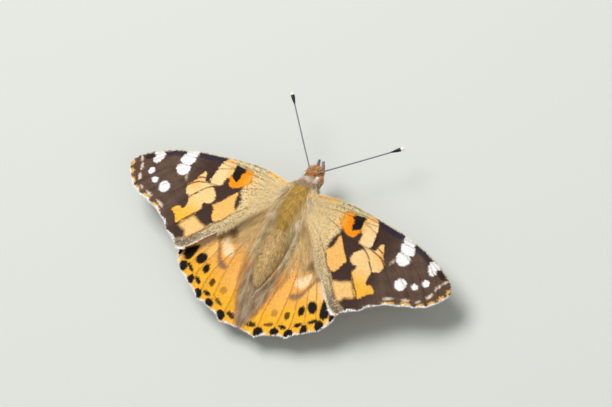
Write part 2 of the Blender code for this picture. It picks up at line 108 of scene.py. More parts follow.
def soft_lamp(name, direction, distance, size, power):
    """A square lamp at a distance along a direction from the body, facing it."""
    data = bpy.data.lights.new(name, "AREA")
    data.size = size
    data.energy = power
    lamp = bpy.data.objects.new(name, data)
    bpy.context.collection.objects.link(lamp)
    back = np.array(direction) / np.linalg.norm(direction)
    right = np.cross((0.0, 1.0, 0.1), back)
    right /= np.linalg.norm(right)
    axes = np.eye(4)
    axes[:3, :3] = np.column_stack([right, np.cross(back, right), back])
    axes[:3, 3] = middle + back * distance
    lamp.matrix_world = Matrix(axes.tolist())


soft_lamp("key", (0.35, -0.25, 1.0), 0.6, 0.34, 3.8)
soft_lamp("fill", (-0.9, 0.3, 0.7), 0.6, 0.5, 0.8)


# Body skin: one thin horny shell from the brow over the thorax to the tip of the abdomen. It is
# drawn in at the neck and the waist and ringed on the abdomen, and the coat grows on it.
SKIN = [
    (-7.85, 0.05, 0.2, 0.1),
    (-7.6, 0.5, 0.62, -0.42),
    (-7.1, 0.9, 1.02, -0.8),
    (-6.5, 1.2, 1.32, -0.98),
    (-5.8, 1.35, 1.42, -0.98),
    (-5.25, 1.4, 1.4, -0.9),
    (-4.85, 1.5, 1.45, -0.95),
    (-4.45, 1.65, 1.62, -1.15),
    (-3.7, 1.92, 1.95, -1.6),
    (-2.4, 2.12, 2.2, -2.1),
    (-0.8, 2.2, 2.3, -2.3),
    (0.9, 2.15, 2.25, -2.35),
    (2.3, 1.95, 1.95, -2.05),
    (3.3, 1.55, 1.45, -1.6),
    (4.0, 1.25, 1.1, -1.3),
    (4.7, 1.42, 1.15, -1.5),
    (5.6, 1.68, 1.25, -1.85),
    (6.8, 1.8, 1.28, -2.1),
    (8.8, 1.72, 1.05, -2.35),
    (10.8, 1.45, 0.62, -2.4),
    (12.6, 1.0, 0.0, -2.3),
    (13.8, 0.58, -0.65, -2.1),
    (14.35, 0.06, -1.35, -1.55),
]
HEAD_END, THORAX_END = 6, 14
SEGMENTS = 8
SEGMENT_START, SEGMENT_LENGTH = 4.3, 1.27
SEGMENT_DEPTH = 0.07


def paint(red, green, blue):
    """The linear colour of a screen colour given in 0 to 255."""
    c = np.array([red, green, blue]) / 255
    return np.where(c <= 0.04045, c / 12.92, ((c + 0.055) / 1.055) ** 2.4)


def cubic(a, b, slope_a, slope_b, t):
    """The cubic from a to b that has the given slopes at its ends, for t from 0 to 1."""
    square, cube = 3 * (b - a) - 2 * slope_a - slope_b, slope_a + slope_b - 2 * (b - a)
    return a + slope_a * t + square * t**2 + cube * t**3


def through(points, at):
    """Places on the smooth curve through points; at counts points from 0 along the curve.

    Each piece is the cubic whose end slopes are half the chord between the points beside it.
    """
    p = np.array(points, dtype=float)
    p = np.vstack([2 * p[0] - p[1], p, 2 * p[-1] - p[-2]])
    i = np.clip(np.floor(at).astype(int), 0, len(p) - 4)
    t = (np.asarray(at, dtype=float) - i)[:, None]
    before, a, b, after = p[i], p[i + 1], p[i + 2], p[i + 3]
    return cubic(a, b, (b - before) / 2, (after - a) / 2, t)


def unit(vectors):
    return vectors / np.maximum(np.linalg.norm(vectors, axis=-1, keepdims=True), 1e-12)


def ease(low, high, value):
    """0 below low, 1 above high, and a smooth rise between."""
    t = np.clip((value - low) / (high - low), 0, 1)
    return t * t * (3 - 2 * t)


def body_skin(at, angle):
    """The skin's point at a station count and an angle about the body: an ellipse whose radii
    follow the stations, pinched a little between two abdominal rings."""
    y, width, top, bottom = through(SKIN, at).T
    ring = (y - SEGMENT_START) / SEGMENT_LENGTH
    inside = (ring > 0) & (ring < SEGMENTS)
    pinch = np.where(inside, SEGMENT_DEPTH * (np.abs(2 * (ring % 1) - 1)) ** 3, 0)
    width = np.maximum(width - pinch, 0.01)
    height = np.maximum((top - bottom) / 2 - pinch, 0.01)
    return np.column_stack([width * np.sin(angle), y, (top + bottom) / 2 + height * np.cos(angle)])


def build(name, points, faces, tint, finish, uv=None, facing=None):
    """A mesh piece from millimetre points, faces of one corner count and a colour per point or
    one for all. facing gives the direction that each point is shaded from, in place of its
    faces' own."""
    points = np.asarray(points, dtype=float)
    faces = np.asarray(faces, dtype=np.int32)
    mesh = bpy.data.meshes.new(name)
    mesh.vertices.add(len(points))
    mesh.vertices.foreach_set("co", (points * MM + middle).astype(np.float32).ravel())
    mesh.loops.add(faces.size)
    mesh.loops.foreach_set("vertex_index", faces.ravel())
    mesh.polygons.add(len(faces))
    mesh.polygons.foreach_set("loop_start", np.arange(0, faces.size, faces.shape[1], dtype=np.int32))
    mesh.update(calc_edges=True)
    layer = mesh.attributes.new("tint", "FLOAT_COLOR", "POINT")
    rgba = np.ones((len(points), 4), dtype=np.float32)
    rgba[:, :3] = tint
    layer.data.foreach_set("color", rgba.ravel())
    if uv is not None:
        bake = mesh.uv_layers.new(name="OFBake")
        bake.data.foreach_set("uv", np.asarray(uv, dtype=np.float32)[faces.ravel()].ravel())
    mesh.materials.append(finish)
    mesh.shade_smooth()
    if facing is not None:
        turned = mesh.attributes.new("custom_normal", "FLOAT_VECTOR", "POINT")
        turned.data.foreach_set("vector", unit(facing).astype(np.float32).ravel())
    piece = bpy.data.objects.new(name, mesh)
    bpy.context.collection.objects.link(piece)
    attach(piece, "root")
    return piece


def coat_finish(name, roughness, grain, grain_size, sheen, bump, bump_size, gloss=0.3):
    """A finish that takes its colour from the piece's tint, mottled by a fine noise and roughened
    by a finer one. Sizes are in millimetres."""
    finish = bpy.data.materials.new(name)
    finish.use_nodes = True
    nodes, links = finish.node_tree.nodes, finish.node_tree.links
    shader = nodes["Principled BSDF"]
    shader.inputs["Roughness"].default_value = roughness
    shader.inputs["Sheen Weight"].default_value = sheen
    shader.inputs["Sheen Roughness"].default_value = 0.4
    shader.inputs["Specular IOR Level"].default_value = gloss
    tint = nodes.new("ShaderNodeAttribute")
    tint.attribute_name = "tint"
    place = nodes.new("ShaderNodeTexCoord")
    mottle = nodes.new("ShaderNodeTexNoise")
    mottle.inputs["Scale"].default_value = 1 / (grain_size * MM)
    mottle.inputs["Detail"].default_value = 3
    strength = nodes.new("ShaderNodeMapRange")
    strength.inputs["From Min"].default_value = 0.3
    strength.inputs["From Max"].default_value = 0.7
    strength.inputs["To Min"].default_value = 1 - grain
    strength.inputs["To Max"].default_value = 1 + grain
    mixed = nodes.new("ShaderNodeVectorMath")
    mixed.operation = "SCALE"
    rough = nodes.new("ShaderNodeTexNoise")
    rough.inputs["Scale"].default_value = 1 / (bump_size * MM)
    raised = nodes.new("ShaderNodeBump")
    raised.inputs["Strength"].default_value = bump
    raised.inputs["Distance"].default_value = bump_size * MM / 2
    links.new(place.outputs["Object"], mottle.inputs["Vector"])
    links.new(mottle.outputs["Fac"], strength.inputs["Value"])
    links.new(tint.outputs["Color"], mixed.inputs[0])
    links.new(strength.outputs["Result"], mixed.inputs["Scale"])
    links.new(mixed.outputs["Vector"], shader.inputs["Base Color"])
    links.new(place.outputs["Object"], rough.inputs["Vector"])
    links.new(rough.outputs["Fac"], raised.inputs["Height"])
    links.new(raised.outputs["Normal"], shader.inputs["Normal"])
    return finish


def closed_rings(rings, sides):
    """Triangles between rings of points, and from the two end points that follow them to the
    first and the last ring."""
    i, j = np.meshgrid(np.arange(rings - 1), np.arange(sides), indexing="ij")
    a, b = (i * sides + j).ravel(), (i * sides + (j + 1) % sides).ravel()
    ring, count, last = np.arange(sides), rings * sides, (rings - 1) * sides
    beside = (ring + 1) % sides
    return np.vstack([
        np.column_stack([a, b, b + sides]), np.column_stack([a, b + sides, a + sides]),
        np.column_stack([np.full(sides, count), beside, ring]),
        np.column_stack([np.full(sides, count + 1), last + ring, last + beside])])


def outward(points, faces):
    """The faces, turned over if the closed surface they make is inside out."""
    p, f = np.asarray(points), np.asarray(faces)
    volume = 0.0
    for k in range(1, f.shape[1] - 1):
        volume += np.einsum("ij,ij->i", p[f[:, 0]], np.cross(p[f[:, k]], p[f[:, k + 1]])).sum()
    return f if volume > 0 else f[:, ::-1]


def waves(a, b, seed=0.0):
    """Soft uneven blotches between 0 and 1 over two lengths in millimetres, the sum of three
    crossing waves."""
    sum_of_three = np.sin(5.1 * a + 2.3 * b + seed) + np.sin(6.3 * b - 3.1 * a + 2 * seed)
    return 0.5 + (sum_of_three + np.sin(9.7 * a + 7.9 * b + 3 * seed)) / 6


def chosen(chance, *choices):
    """A colour for each chance of 0 to 1. Each choice is the chance that it ends at, then its
    screen colour; the last one takes the rest."""
    tint = np.tile(paint(*choices[-1]), (len(chance), 1))
    for end, *colour in choices[-2::-1]:
        tint = np.where(chance[:, None] < end, paint(*colour), tint)
    return tint


def body_colour(y, angle, chance):
    """The coat's colour: rusty brown on the head, bands of rust, white and grey on the collar,
    olive gold along the back with pale flanks, golden tan on the abdomen with dark flecks, and
    cream below. chance is 0 to 1."""
    side = np.abs(np.sin(angle))
    under = ease(0.1, -0.5, np.cos(angle))[:, None]
    blotch = waves(y * 0.9, angle * 1.6)[:, None]
    rust = chosen(chance, (0.5, 224, 150, 70), (0.72, 176, 112, 60), (0.9, 246, 218, 170), (92, 66, 52))
    speckled = chosen(chance, (0.76, 250, 244, 234), (0.86, 120, 96, 86), (230, 168, 108))
    band = chosen(chance, (0.6, 226, 152, 84), (0.85, 246, 214, 176), (176, 116, 66))
    collar = chosen(chance, (0.6, 180, 190, 172), (0.82, 146, 134, 158), (212, 204, 174))
    gold = chosen(chance, (0.6, 194, 152, 66), (0.85, 228, 188, 106), (160, 124, 62)) * (0.82 + 0.4 * blotch)
    pale = chosen(chance, (0.6, 240, 212, 150), (0.85, 214, 214, 180), (200, 160, 100))
    tan = chosen(chance, (0.55, 236, 194, 124), (0.85, 250, 220, 160), (204, 156, 92))
    fleck = ease(0.62, 0.76, waves(y * 2.6, angle * 4.2, 1.7)) * (chance < 0.6)
    tan = tan + (paint(150, 112, 64) - tan) * fleck[:, None]
    tan = np.where(chance[:, None] > 0.94, paint(122, 92, 52), tan)
    back = gold + (pale - gold) * ease(0.5, 0.88, side)[:, None]
    flank = ease(0.8, 0.97, side)[:, None] * 0.7
    creamy = chosen(chance, (0.5, 244, 222, 184), (0.8, 226, 160, 96), (150, 116, 92))
    above = ease(0.35, -0.1, -np.cos(angle))
    tone = rust + (speckled - rust) * (ease(-6.05, -5.8, y) * above)[:, None]
    tone = tone + (band - tone) * ease(-5.5, -5.3, y)[:, None]
    tone = tone + (collar - tone) * (ease(-4.85, -4.7, y)[:, None] * (1 - flank))
    tone = tone + (creamy - tone) * (ease(-6.0, -5.6, y)[:, None] * flank)
    tone = tone + (back - tone) * ease(-4.4, -4.1, y)[:, None]
    tone = tone + (tan - tone) * ease(3.2, 5.0, y)[:, None]
    return tone + (chosen(chance, (0.7, 226, 212, 178), (184, 154, 112)) - tone) * under


skin_finish = coat_finish("body_cuticle", 0.55, 0.15, 0.3, 0.1, 0.4, 0.08)
SKIN_RINGS, SKIN_SIDES = 150, 72
ring_at = np.linspace(0, len(SKIN) - 1, SKIN_RINGS)
ring_angle = np.arange(SKIN_SIDES) * 2 * math.pi / SKIN_SIDES
grid_at, grid_angle = np.repeat(ring_at, SKIN_SIDES), np.tile(ring_angle, SKIN_RINGS)
skin_points = body_skin(grid_at, grid_angle)
skin_points = np.vstack([skin_points, skin_points[:SKIN_SIDES].mean(0), skin_points[-SKIN_SIDES:].mean(0)])
skin_faces = outward(skin_points, closed_rings(SKIN_RINGS, SKIN_SIDES))
skin_chance = np.full(len(skin_points), 0.5)
skin_shade = 0.75  # the skin is darker than the hair over it
skin_tint = body_colour(skin_points[:, 1], np.r_[grid_angle, 0, 0], skin_chance) * skin_shade
body = build("body_skin", skin_points, skin_faces, skin_tint, skin_finish)
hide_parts("head", "thorax", "abdomen")


# Body coat: hair-like scales, short and flat on the back and the abdomen, long and loose on the
# flanks, the brow and the hind edge of the thorax, where they spill over the wing roots. Each is
# a slim three-sided tuft sunk in the skin.
TUFT_FACES = np.array([
    (0, 2, 1), (0, 1, 4), (0, 4, 3), (1, 2, 5), (1, 5, 4),
    (2, 0, 3), (2, 3, 5), (3, 4, 6), (4, 5, 6), (5, 3, 6)])
TUFT_PATCH = 0.003


def tufts(root, lie, normal, length, width, lift, droop):
    """Points of one tuft a row: a triangle at the root, a smaller one half way and a tip. Its
    middle line leaves the root along lie, rises by lift and sinks again by droop, both as shares
    of its length. Each size is one number or one a tuft."""
    lie = unit(lie)
    normal = unit(normal - lie * (normal * lie).sum(1)[:, None])
    across = np.cross(normal, lie)
    sizes = (length, width, lift, droop)
    length, width, lift, droop = (np.broadcast_to(size, len(root))[:, None] for size in sizes)
    points = np.empty((len(root), 7, 3))
    for level, (share, size, sunk) in enumerate(((0.0, 1.0, 0.04), (0.5, 0.8, 0.0))):
        centre = root + lie * length * share + normal * length * (lift * share - droop * share**2)
        centre = centre - normal * sunk
        points[:, level * 3] = centre + across * width * size / 2
        points[:, level * 3 + 1] = centre + normal * width * size * 0.35
        points[:, level * 3 + 2] = centre - across * width * size / 2
    points[:, 6] = root + lie * length + normal * length * (lift - droop)
    return points


def tuft_piece(name, points, tint, place, finish):
    """Joins tufts in one piece, each with one colour and a small patch of the bake map. A tuft is
    shaded as a flattish blade: outwards on its ridge and a little aside at its edges."""
    count = len(points)
    faces = (TUFT_FACES[None] + 7 * np.arange(count)[:, None, None]).reshape(-1, 3)
    corner = np.array([(0, 0), (0.5, 0), (1, 0), (0, 0.5), (0.5, 0.5), (1, 0.5), (0.5, 1)]) * TUFT_PATCH
    uv = (place[:, None, :] + corner[None]).reshape(-1, 2)
    across = unit(points[:, 3] - points[:, 5])
    ridge = unit(np.cross(across, points[:, 6] - points[:, 4]))
    upwards = points[:, 4] - (points[:, 3] + points[:, 5]) / 2
    ridge = ridge * np.sign(np.einsum("ij,ij->i", ridge, upwards))[:, None]
    facing = np.stack([ridge + across * lean for lean in (0.55, 0, -0.55, 0.55, 0, -0.55, 0)], axis=1)
    # Painted shade darkens each tuft at its root, deep in the coat, and painted light lifts its tip a little.
    shade = np.array([0.78, 0.78, 0.78, 1.0, 1.0, 1.0, 1.05])
    colours = (tint[:, None, :] * shade[None, :, None]).reshape(-1, 3)
    return build(name, points.reshape(-1, 3), faces, colours, finish, uv, facing.reshape(-1, 3))


def skin_frame(at, angle):
    """The skin's point, outward normal and tailward direction at stations and angles."""
    step = 1e-3
    here = body_skin(at, angle)
    tailward = body_skin(at + step, angle) - body_skin(at - step, angle)
    around = body_skin(at, angle + step) - body_skin(at, angle - step)
    return here, unit(np.cross(around, tailward)), unit(tailward)


def body_coat(name, low, high, count, length_of, lie_of, width, seed):
    """Tufts between two stations, spread evenly over the skin, with lengths and lie by place."""
    rng = np.random.default_rng(seed)
    at = rng.uniform(low, high, count * 3)
    y, half, top, bottom = through(SKIN, at).T
    speed = np.abs(through(SKIN, at + 0.05)[:, 0] - y) / 0.05
    weight = speed * (half + (top - bottom) / 2)
    at = at[rng.uniform(0, 1, len(at)) < weight / np.percentile(weight, 98)][:count]
    angle = rng.uniform(-math.pi, math.pi, len(at))
    root, normal, tailward = skin_frame(at, angle)
    lie, lift = lie_of(root, tailward, angle, rng)
    length = length_of(root, angle) * rng.uniform(0.75, 1.2, len(at))
    tint = body_colour(root[:, 1], angle, rng.uniform(0, 1, len(at))) * rng.uniform(0.8, 1.15, (len(at), 1))
    points = tufts(root, lie, normal, length, width * rng.uniform(0.7, 1.2, len(at)), lift, 0.25)
    place = np.column_stack([angle / (2 * math.pi) + 0.5, at / (len(SKIN) - 1)]) * 0.99
    tuft_piece(name, points, tint, place, fur_finish)


def sideways(root):
    """The direction away from the body's middle plane at each root."""
    return np.column_stack([np.sign(root[:, 0]), np.zeros((len(root), 2))])


def thorax_length(root, angle):
    flank = ease(0.5, 0.9, np.abs(np.sin(angle)))
    rear = ease(1.2, 3.4, root[:, 1])
    front = ease(-3.9, -4.6, root[:, 1])
    return 0.7 + 0.9 * flank * (1 - 0.7 * front) + 0.95 * rear - 0.15 * front


def thorax_lie(root, tailward, angle, rng):
    flank = ease(0.4, 0.9, np.abs(np.sin(angle)))[:, None]
    lie = tailward + sideways(root) * flank * 0.55 + rng.normal(0, 0.13, root.shape)
    front = ease(-3.9, -4.6, root[:, 1])
    return lie, rng.uniform(0.15, 0.35, len(root)) + 0.15 * flank[:, 0] + 0.35 * front


def abdomen_length(root, angle):
    base = ease(6.8, 4.2, root[:, 1])
    flank = ease(0.6, 0.95, np.abs(np.sin(angle))) * ease(12.5, 9.0, root[:, 1])
    return 0.55 + 0.95 * base + 0.75 * flank


def abdomen_lie(root, tailward, angle, rng):
    flank = ease(0.5, 0.95, np.abs(np.sin(angle)))[:, None]
    lie = tailward + sideways(root) * flank * 0.5 + rng.normal(0, 0.22, root.shape)
    return lie, rng.uniform(0.12, 0.4, len(root))


def head_length(root, angle):
    brow = ease(-6.2, -7.2, root[:, 1]) * ease(-0.4, 0.5, np.cos(angle))
    ruff = ease(-6.1, -5.6, root[:, 1])
    return 0.5 + 0.35 * brow + 0.3 * ruff


def head_lie(root, tailward, angle, rng):
    forward = ease(-5.9, -6.9, root[:, 1])[:, None]
    ruff = ease(-6.1, -5.6, root[:, 1])[:, None]
    lie = tailward * (1 - 1.7 * forward) + sideways(root) * 0.3 * forward + rng.normal(0, 0.25, root.shape)
    return lie, 0.35 + 0.5 * forward[:, 0] + 0.45 * ruff[:, 0]


fur_finish = coat_finish("body_fur", 0.75, 0.06, 0.25, 0.1, 0.0, 0.05, 0.15)
body_coat("coat_thorax", HEAD_END, THORAX_END, 19000, thorax_length, thorax_lie, 0.06, 11)
body_coat("coat_abdomen", THORAX_END - 0.3, len(SKIN) - 1.15, 17000, abdomen_length,
          abdomen_lie, 0.06, 12)
body_coat("coat_head", 0.3, HEAD_END, 9000, head_length, head_lie, 0.055, 13)

# Shoulder tufts: long loose hairs from a flap over each forewing's joint, which stream back
# along the thorax and over the wing's root in rust, white and grey green.
SHOULDER_PATH = [
    (1.75, -4.2, 1.05), (2.05, -3.5, 1.35), (2.3, -2.4, 1.6), (2.45, -1.0, 1.5), (2.4, 0.6, 1.3),
    (2.1, 2.2, 1.2)]
SHOULDER_HAIRS = 2600
for side, hand in SIDES.items():
    rng = np.random.default_rng(17)
    share = rng.uniform(0, 1, SHOULDER_HAIRS) ** 1.2
    shoulder_root = through(SHOULDER_PATH, share * (len(SHOULDER_PATH) - 1))
    shoulder_root = shoulder_root + rng.normal(0, 0.22, shoulder_root.shape) * (1, 1, 0.7)
    chance = rng.uniform(0, 1, SHOULDER_HAIRS)
    shoulder_lie = np.column_stack([0.42 + 0.5 * chance**2, np.full(SHOULDER_HAIRS, 1.0), 0.12 - 0.2 * share])
    shoulder_lie = (shoulder_lie + rng.normal(0, 0.1, shoulder_lie.shape)) * (hand, 1, 1)
    up = np.tile((0.25 * hand, 0.0, 1.0), (SHOULDER_HAIRS, 1))
    tone = waves(share * 6, chance * 1.5, 0.6)
    tint = chosen(tone, (0.38, 236, 178, 112), (0.5, 248, 236, 208), (238, 206, 146))
    tint = np.where(((chance > 0.72) & (tone > 0.5))[:, None], paint(190, 200, 172), tint)
    tint = np.where(chance[:, None] < 0.1, paint(120, 84, 50), tint)
    hairs = tufts(
        shoulder_root * (hand, 1, 1), shoulder_lie, up, rng.uniform(1.0, 2.5, SHOULDER_HAIRS),
        rng.uniform(0.04, 0.065, SHOULDER_HAIRS), rng.uniform(0.1, 0.3, SHOULDER_HAIRS), 0.28)
    place = np.column_stack([share, 0.5 + 0.2 * chance * hand]) * 0.99
    tuft_piece("shoulder_tuft_" + side, hairs, tint, place, fur_finish)


# Eyes: large domed compound eyes, glossy brown over thousands of tiny six-sided lenses, each set
# in the side of the head with a white rim of scales behind it.
EYE_CENTRE = (1.25, -6.15, 0.22)
EYE_RADII = (0.82, 0.92, 1.08)
eye_finish = bpy.data.materials.new("eye_lens")
eye_finish.use_nodes = True
eye_nodes, eye_links = eye_finish.node_tree.nodes, eye_finish.node_tree.links
eye_shader = eye_nodes["Principled BSDF"]
eye_shader.inputs["Roughness"].default_value = 0.22
eye_shader.inputs["Coat Weight"].default_value = 0.6
eye_shader.inputs["Coat Roughness"].default_value = 0.1
eye_place = eye_nodes.new("ShaderNodeTexCoord")
eye_cells = eye_nodes.new("ShaderNodeTexVoronoi")
eye_cells.inputs["Scale"].default_value = 1 / (0.07 * MM)
eye_cells.inputs["Randomness"].default_value = 0.15
eye_blotch = eye_nodes.new("ShaderNodeTexNoise")
eye_blotch.inputs["Scale"].default_value = 1 / (0.7 * MM)
eye_ramp = eye_nodes.new("ShaderNodeValToRGB")
eye_ramp.color_ramp.elements[0].position = 0.38
eye_ramp.color_ramp.elements[0].color = (*paint(110, 62, 30), 1)
eye_ramp.color_ramp.elements[1].position = 0.62
eye_ramp.color_ramp.elements[1].color = (*paint(206, 134, 56), 1)
eye_bump = eye_nodes.new("ShaderNodeBump")
eye_bump.inputs["Strength"].default_value = 0.5
eye_bump.inputs["Distance"].default_value = 0.02 * MM
eye_bump.invert = True
eye_links.new(eye_place.outputs["Object"], eye_cells.inputs["Vector"])
eye_links.new(eye_place.outputs["Object"], eye_blotch.inputs["Vector"])
eye_links.new(eye_blotch.outputs["Fac"], eye_ramp.inputs["Fac"])
eye_links.new(eye_ramp.outputs["Color"], eye_shader.inputs["Base Color"])
eye_links.new(eye_cells.outputs["Distance"], eye_bump.inputs["Height"])
eye_links.new(eye_bump.outputs["Normal"], eye_shader.inputs["Normal"])


def dome(centre, radii, rings, sides):
    """An ellipsoid as rings of points about its x axis, closed by a point at each pole."""
    bend = np.repeat(np.linspace(0, math.pi, rings + 2)[1:-1], sides)
    turn = np.tile(np.arange(sides) * 2 * math.pi / sides, rings)
    ball = np.column_stack([np.cos(bend), np.sin(bend) * np.cos(turn), np.sin(bend) * np.sin(turn)])
    ball = np.vstack([ball, (1, 0, 0), (-1, 0, 0)])
    return ball * radii + centre, outward(ball, closed_rings(rings, sides))


for side, hand in SIDES.items():
    eye_points, eye_faces = dome(np.array(EYE_CENTRE) * (hand, 1, 1), EYE_RADII, 40, 56)
    eye = build("compound_eye_" + side, eye_points, eye_faces, np.ones((len(eye_points), 3)), eye_finish)
    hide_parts("eye_" + side)
    rng = np.random.default_rng(21)
    rim_count = 900
    rim_turn = rng.uniform(0.05 * math.pi, 1.95 * math.pi, rim_count)
    rim_x = rng.uniform(-0.1, 0.45, rim_count)
    rim_reach = np.sqrt(1 - rim_x**2) * 1.03  # just outside the lens
    rim_root = np.column_stack([
        (EYE_CENTRE[0] + rim_x * EYE_RADII[0]) * hand,
        EYE_CENTRE[1] + EYE_RADII[1] * rim_reach * np.cos(rim_turn),
        EYE_CENTRE[2] + EYE_RADII[2] * rim_reach * np.sin(rim_turn)])
    rim_normal = unit(rim_root - np.array(EYE_CENTRE) * (hand, 1, 1))
    rim_lie = np.array([-0.35 * hand, 0.8, 0.0]) + rim_normal * 0.3 + rng.normal(0, 0.15, rim_root.shape)
    rear = np.cos(rim_turn) > -0.35
    count = rear.sum()
    rim = tufts(rim_root[rear], rim_lie[rear], rim_normal[rear], rng.uniform(0.25, 0.5, count),
                0.06, 0.2, 0.2)
    rim_place = np.column_stack([rim_turn / (2 * math.pi), 0.5 + rim_x])[rear] * 0.9
    rim_tint = paint(240, 238, 230) * rng.uniform(0.85, 1.0, (count, 1))
    tuft_piece("eye_rim_" + side, rim, rim_tint, rim_place, fur_finish)


# Palps: a pair of scaly feelers held up before the face, grey and white with dark bristles. The
# thin tongue is coiled like a watch spring between their roots.
def tube(path, radii, sides):
    """Rings of points round a path, each square to it, and the triangles that close them. The
    cross direction is carried along the path so that the rings don't twist."""
    path = np.asarray(path, dtype=float)
    slope = unit(np.gradient(path, axis=0))
    across = np.cross(slope[0], (0.0, 0.0, 1.0))
    if np.linalg.norm(across) < 0.2:
        across = np.cross(slope[0], (1.0, 0.0, 0.0))
    frames = []
    for forward in slope:
        across = across - forward * across.dot(forward)
        across = across / np.linalg.norm(across)
        frames.append((across, np.cross(across, forward)))
    frames = np.array(frames)
    turn = np.arange(sides) * 2 * math.pi / sides
    rim = frames[:, 0, None] * np.cos(turn)[None, :, None] + frames[:, 1, None] * np.sin(turn)[None, :, None]
    points = (path[:, None] + rim * np.asarray(radii)[:, None, None]).reshape(-1, 3)
    points = np.vstack([points, path[0], path[-1]])
    return points, outward(points, closed_rings(len(path), sides))


def tube_tufts(name, path, radii, count, length, width, tint_of, finish, seed, lift=0.25):
    """Tufts over a tube, leaning along its path and kept above the floor. tint_of gives a colour
    for each share of the length and each chance."""
    rng = np.random.default_rng(seed)
    path, radii = np.asarray(path, dtype=float), np.asarray(radii, dtype=float)
    share = rng.uniform(0.02, 0.97, count)
    slope = unit(np.gradient(path, axis=0))
    rings = np.column_stack([path, slope, radii])
    there = np.column_stack([np.interp(share * (len(path) - 1), np.arange(len(path)), k) for k in rings.T])
    centre, forward, radius = there[:, :3], unit(there[:, 3:6]), there[:, 6]
    normal = rng.normal(0, 1, (count, 3))
    normal = unit(normal - forward * np.einsum("ij,ij->i", normal, forward)[:, None])
    root = centre + normal * radius[:, None]
    lie = forward + normal * 0.15 + rng.normal(0, 0.1, root.shape)
    size = length * rng.uniform(0.7, 1.25, count)
    points = tufts(root, lie, normal, size, width, lift, 0.1)
    points[:, :, 2] = np.maximum(points[:, :, 2], FLOOR)
    turn = np.arctan2(normal[:, 2], normal[:, 0]) / (2 * math.pi) + 0.5
    tint = tint_of(share, rng.uniform(0, 1, count))
    return tuft_piece(name, points, tint, np.column_stack([share, turn]) * 0.99, finish)


def palp_tint(share, chance):
    tint = chosen(chance, (0.68, 250, 244, 252), (0.86, 128, 112, 120), (216, 156, 100))
    return tint * (1 - 0.2 * ease(0.75, 1.0, share))[:, None]


PALP_PATH = [(0.45, -7.0, -0.8), (0.6, -7.55, -0.9), (0.6, -8.1, -0.55), (0.52, -8.65, 0.0),
             (0.42, -9.15, 0.5)]
PALP_RINGS, PALP_RADIUS = 26, 0.21
palp_line = through(PALP_PATH, np.linspace(0, len(PALP_PATH) - 1, PALP_RINGS))
palp_radii = PALP_RADIUS * np.sin(np.linspace(0.35, 0.93, PALP_RINGS) * math.pi) ** 0.6
for side, hand in SIDES.items():
    line = palp_line * (hand, 1, 1)
    palp = build("palp_core_" + side, *tube(line, palp_radii, 14), paint(150, 124, 110), skin_finish)
    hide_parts("palp_" + side)
    hairs = tube_tufts("palp_coat_" + side, line, palp_radii, 900, 0.42, 0.05, palp_tint, fur_finish, 31)

tongue_finish = coat_finish("tongue_horn", 0.4, 0.25, 0.12, 0.0, 0.6, 0.05)
TONGUE_ROOT = (0.0, -6.9, -0.85)
COIL_CENTRE = (-6.3, -2.45)
COIL_OUTER, COIL_INNER, COIL_TURNS, TONGUE_RADIUS = 0.98, 0.18, 4.2, 0.09
COIL_RINGS = 260
tongue_reach = np.linspace(COIL_OUTER, COIL_INNER, COIL_RINGS)
tongue_angle = math.radians(60) - np.linspace(0, COIL_TURNS * 2 * math.pi, COIL_RINGS)
spiral = np.column_stack([
    np.zeros(COIL_RINGS),
    COIL_CENTRE[0] - tongue_reach * np.cos(tongue_angle),
    COIL_CENTRE[1] + tongue_reach * np.sin(tongue_angle)])
lead = through([TONGUE_ROOT, (0.0, -7.0, -1.4), spiral[0]], np.linspace(0, 1.9, 12))
tongue_line = np.vstack([lead, spiral])
ripple = 1 + 0.06 * np.sin(np.arange(len(tongue_line)) * 2.1)
tongue_radii = TONGUE_RADIUS * ripple * np.linspace(1.1, 0.75, len(tongue_line))
tongue = build("coiled_tongue", *tube(tongue_line, tongue_radii, 12), paint(96, 60, 34), tongue_finish)
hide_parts("proboscis")


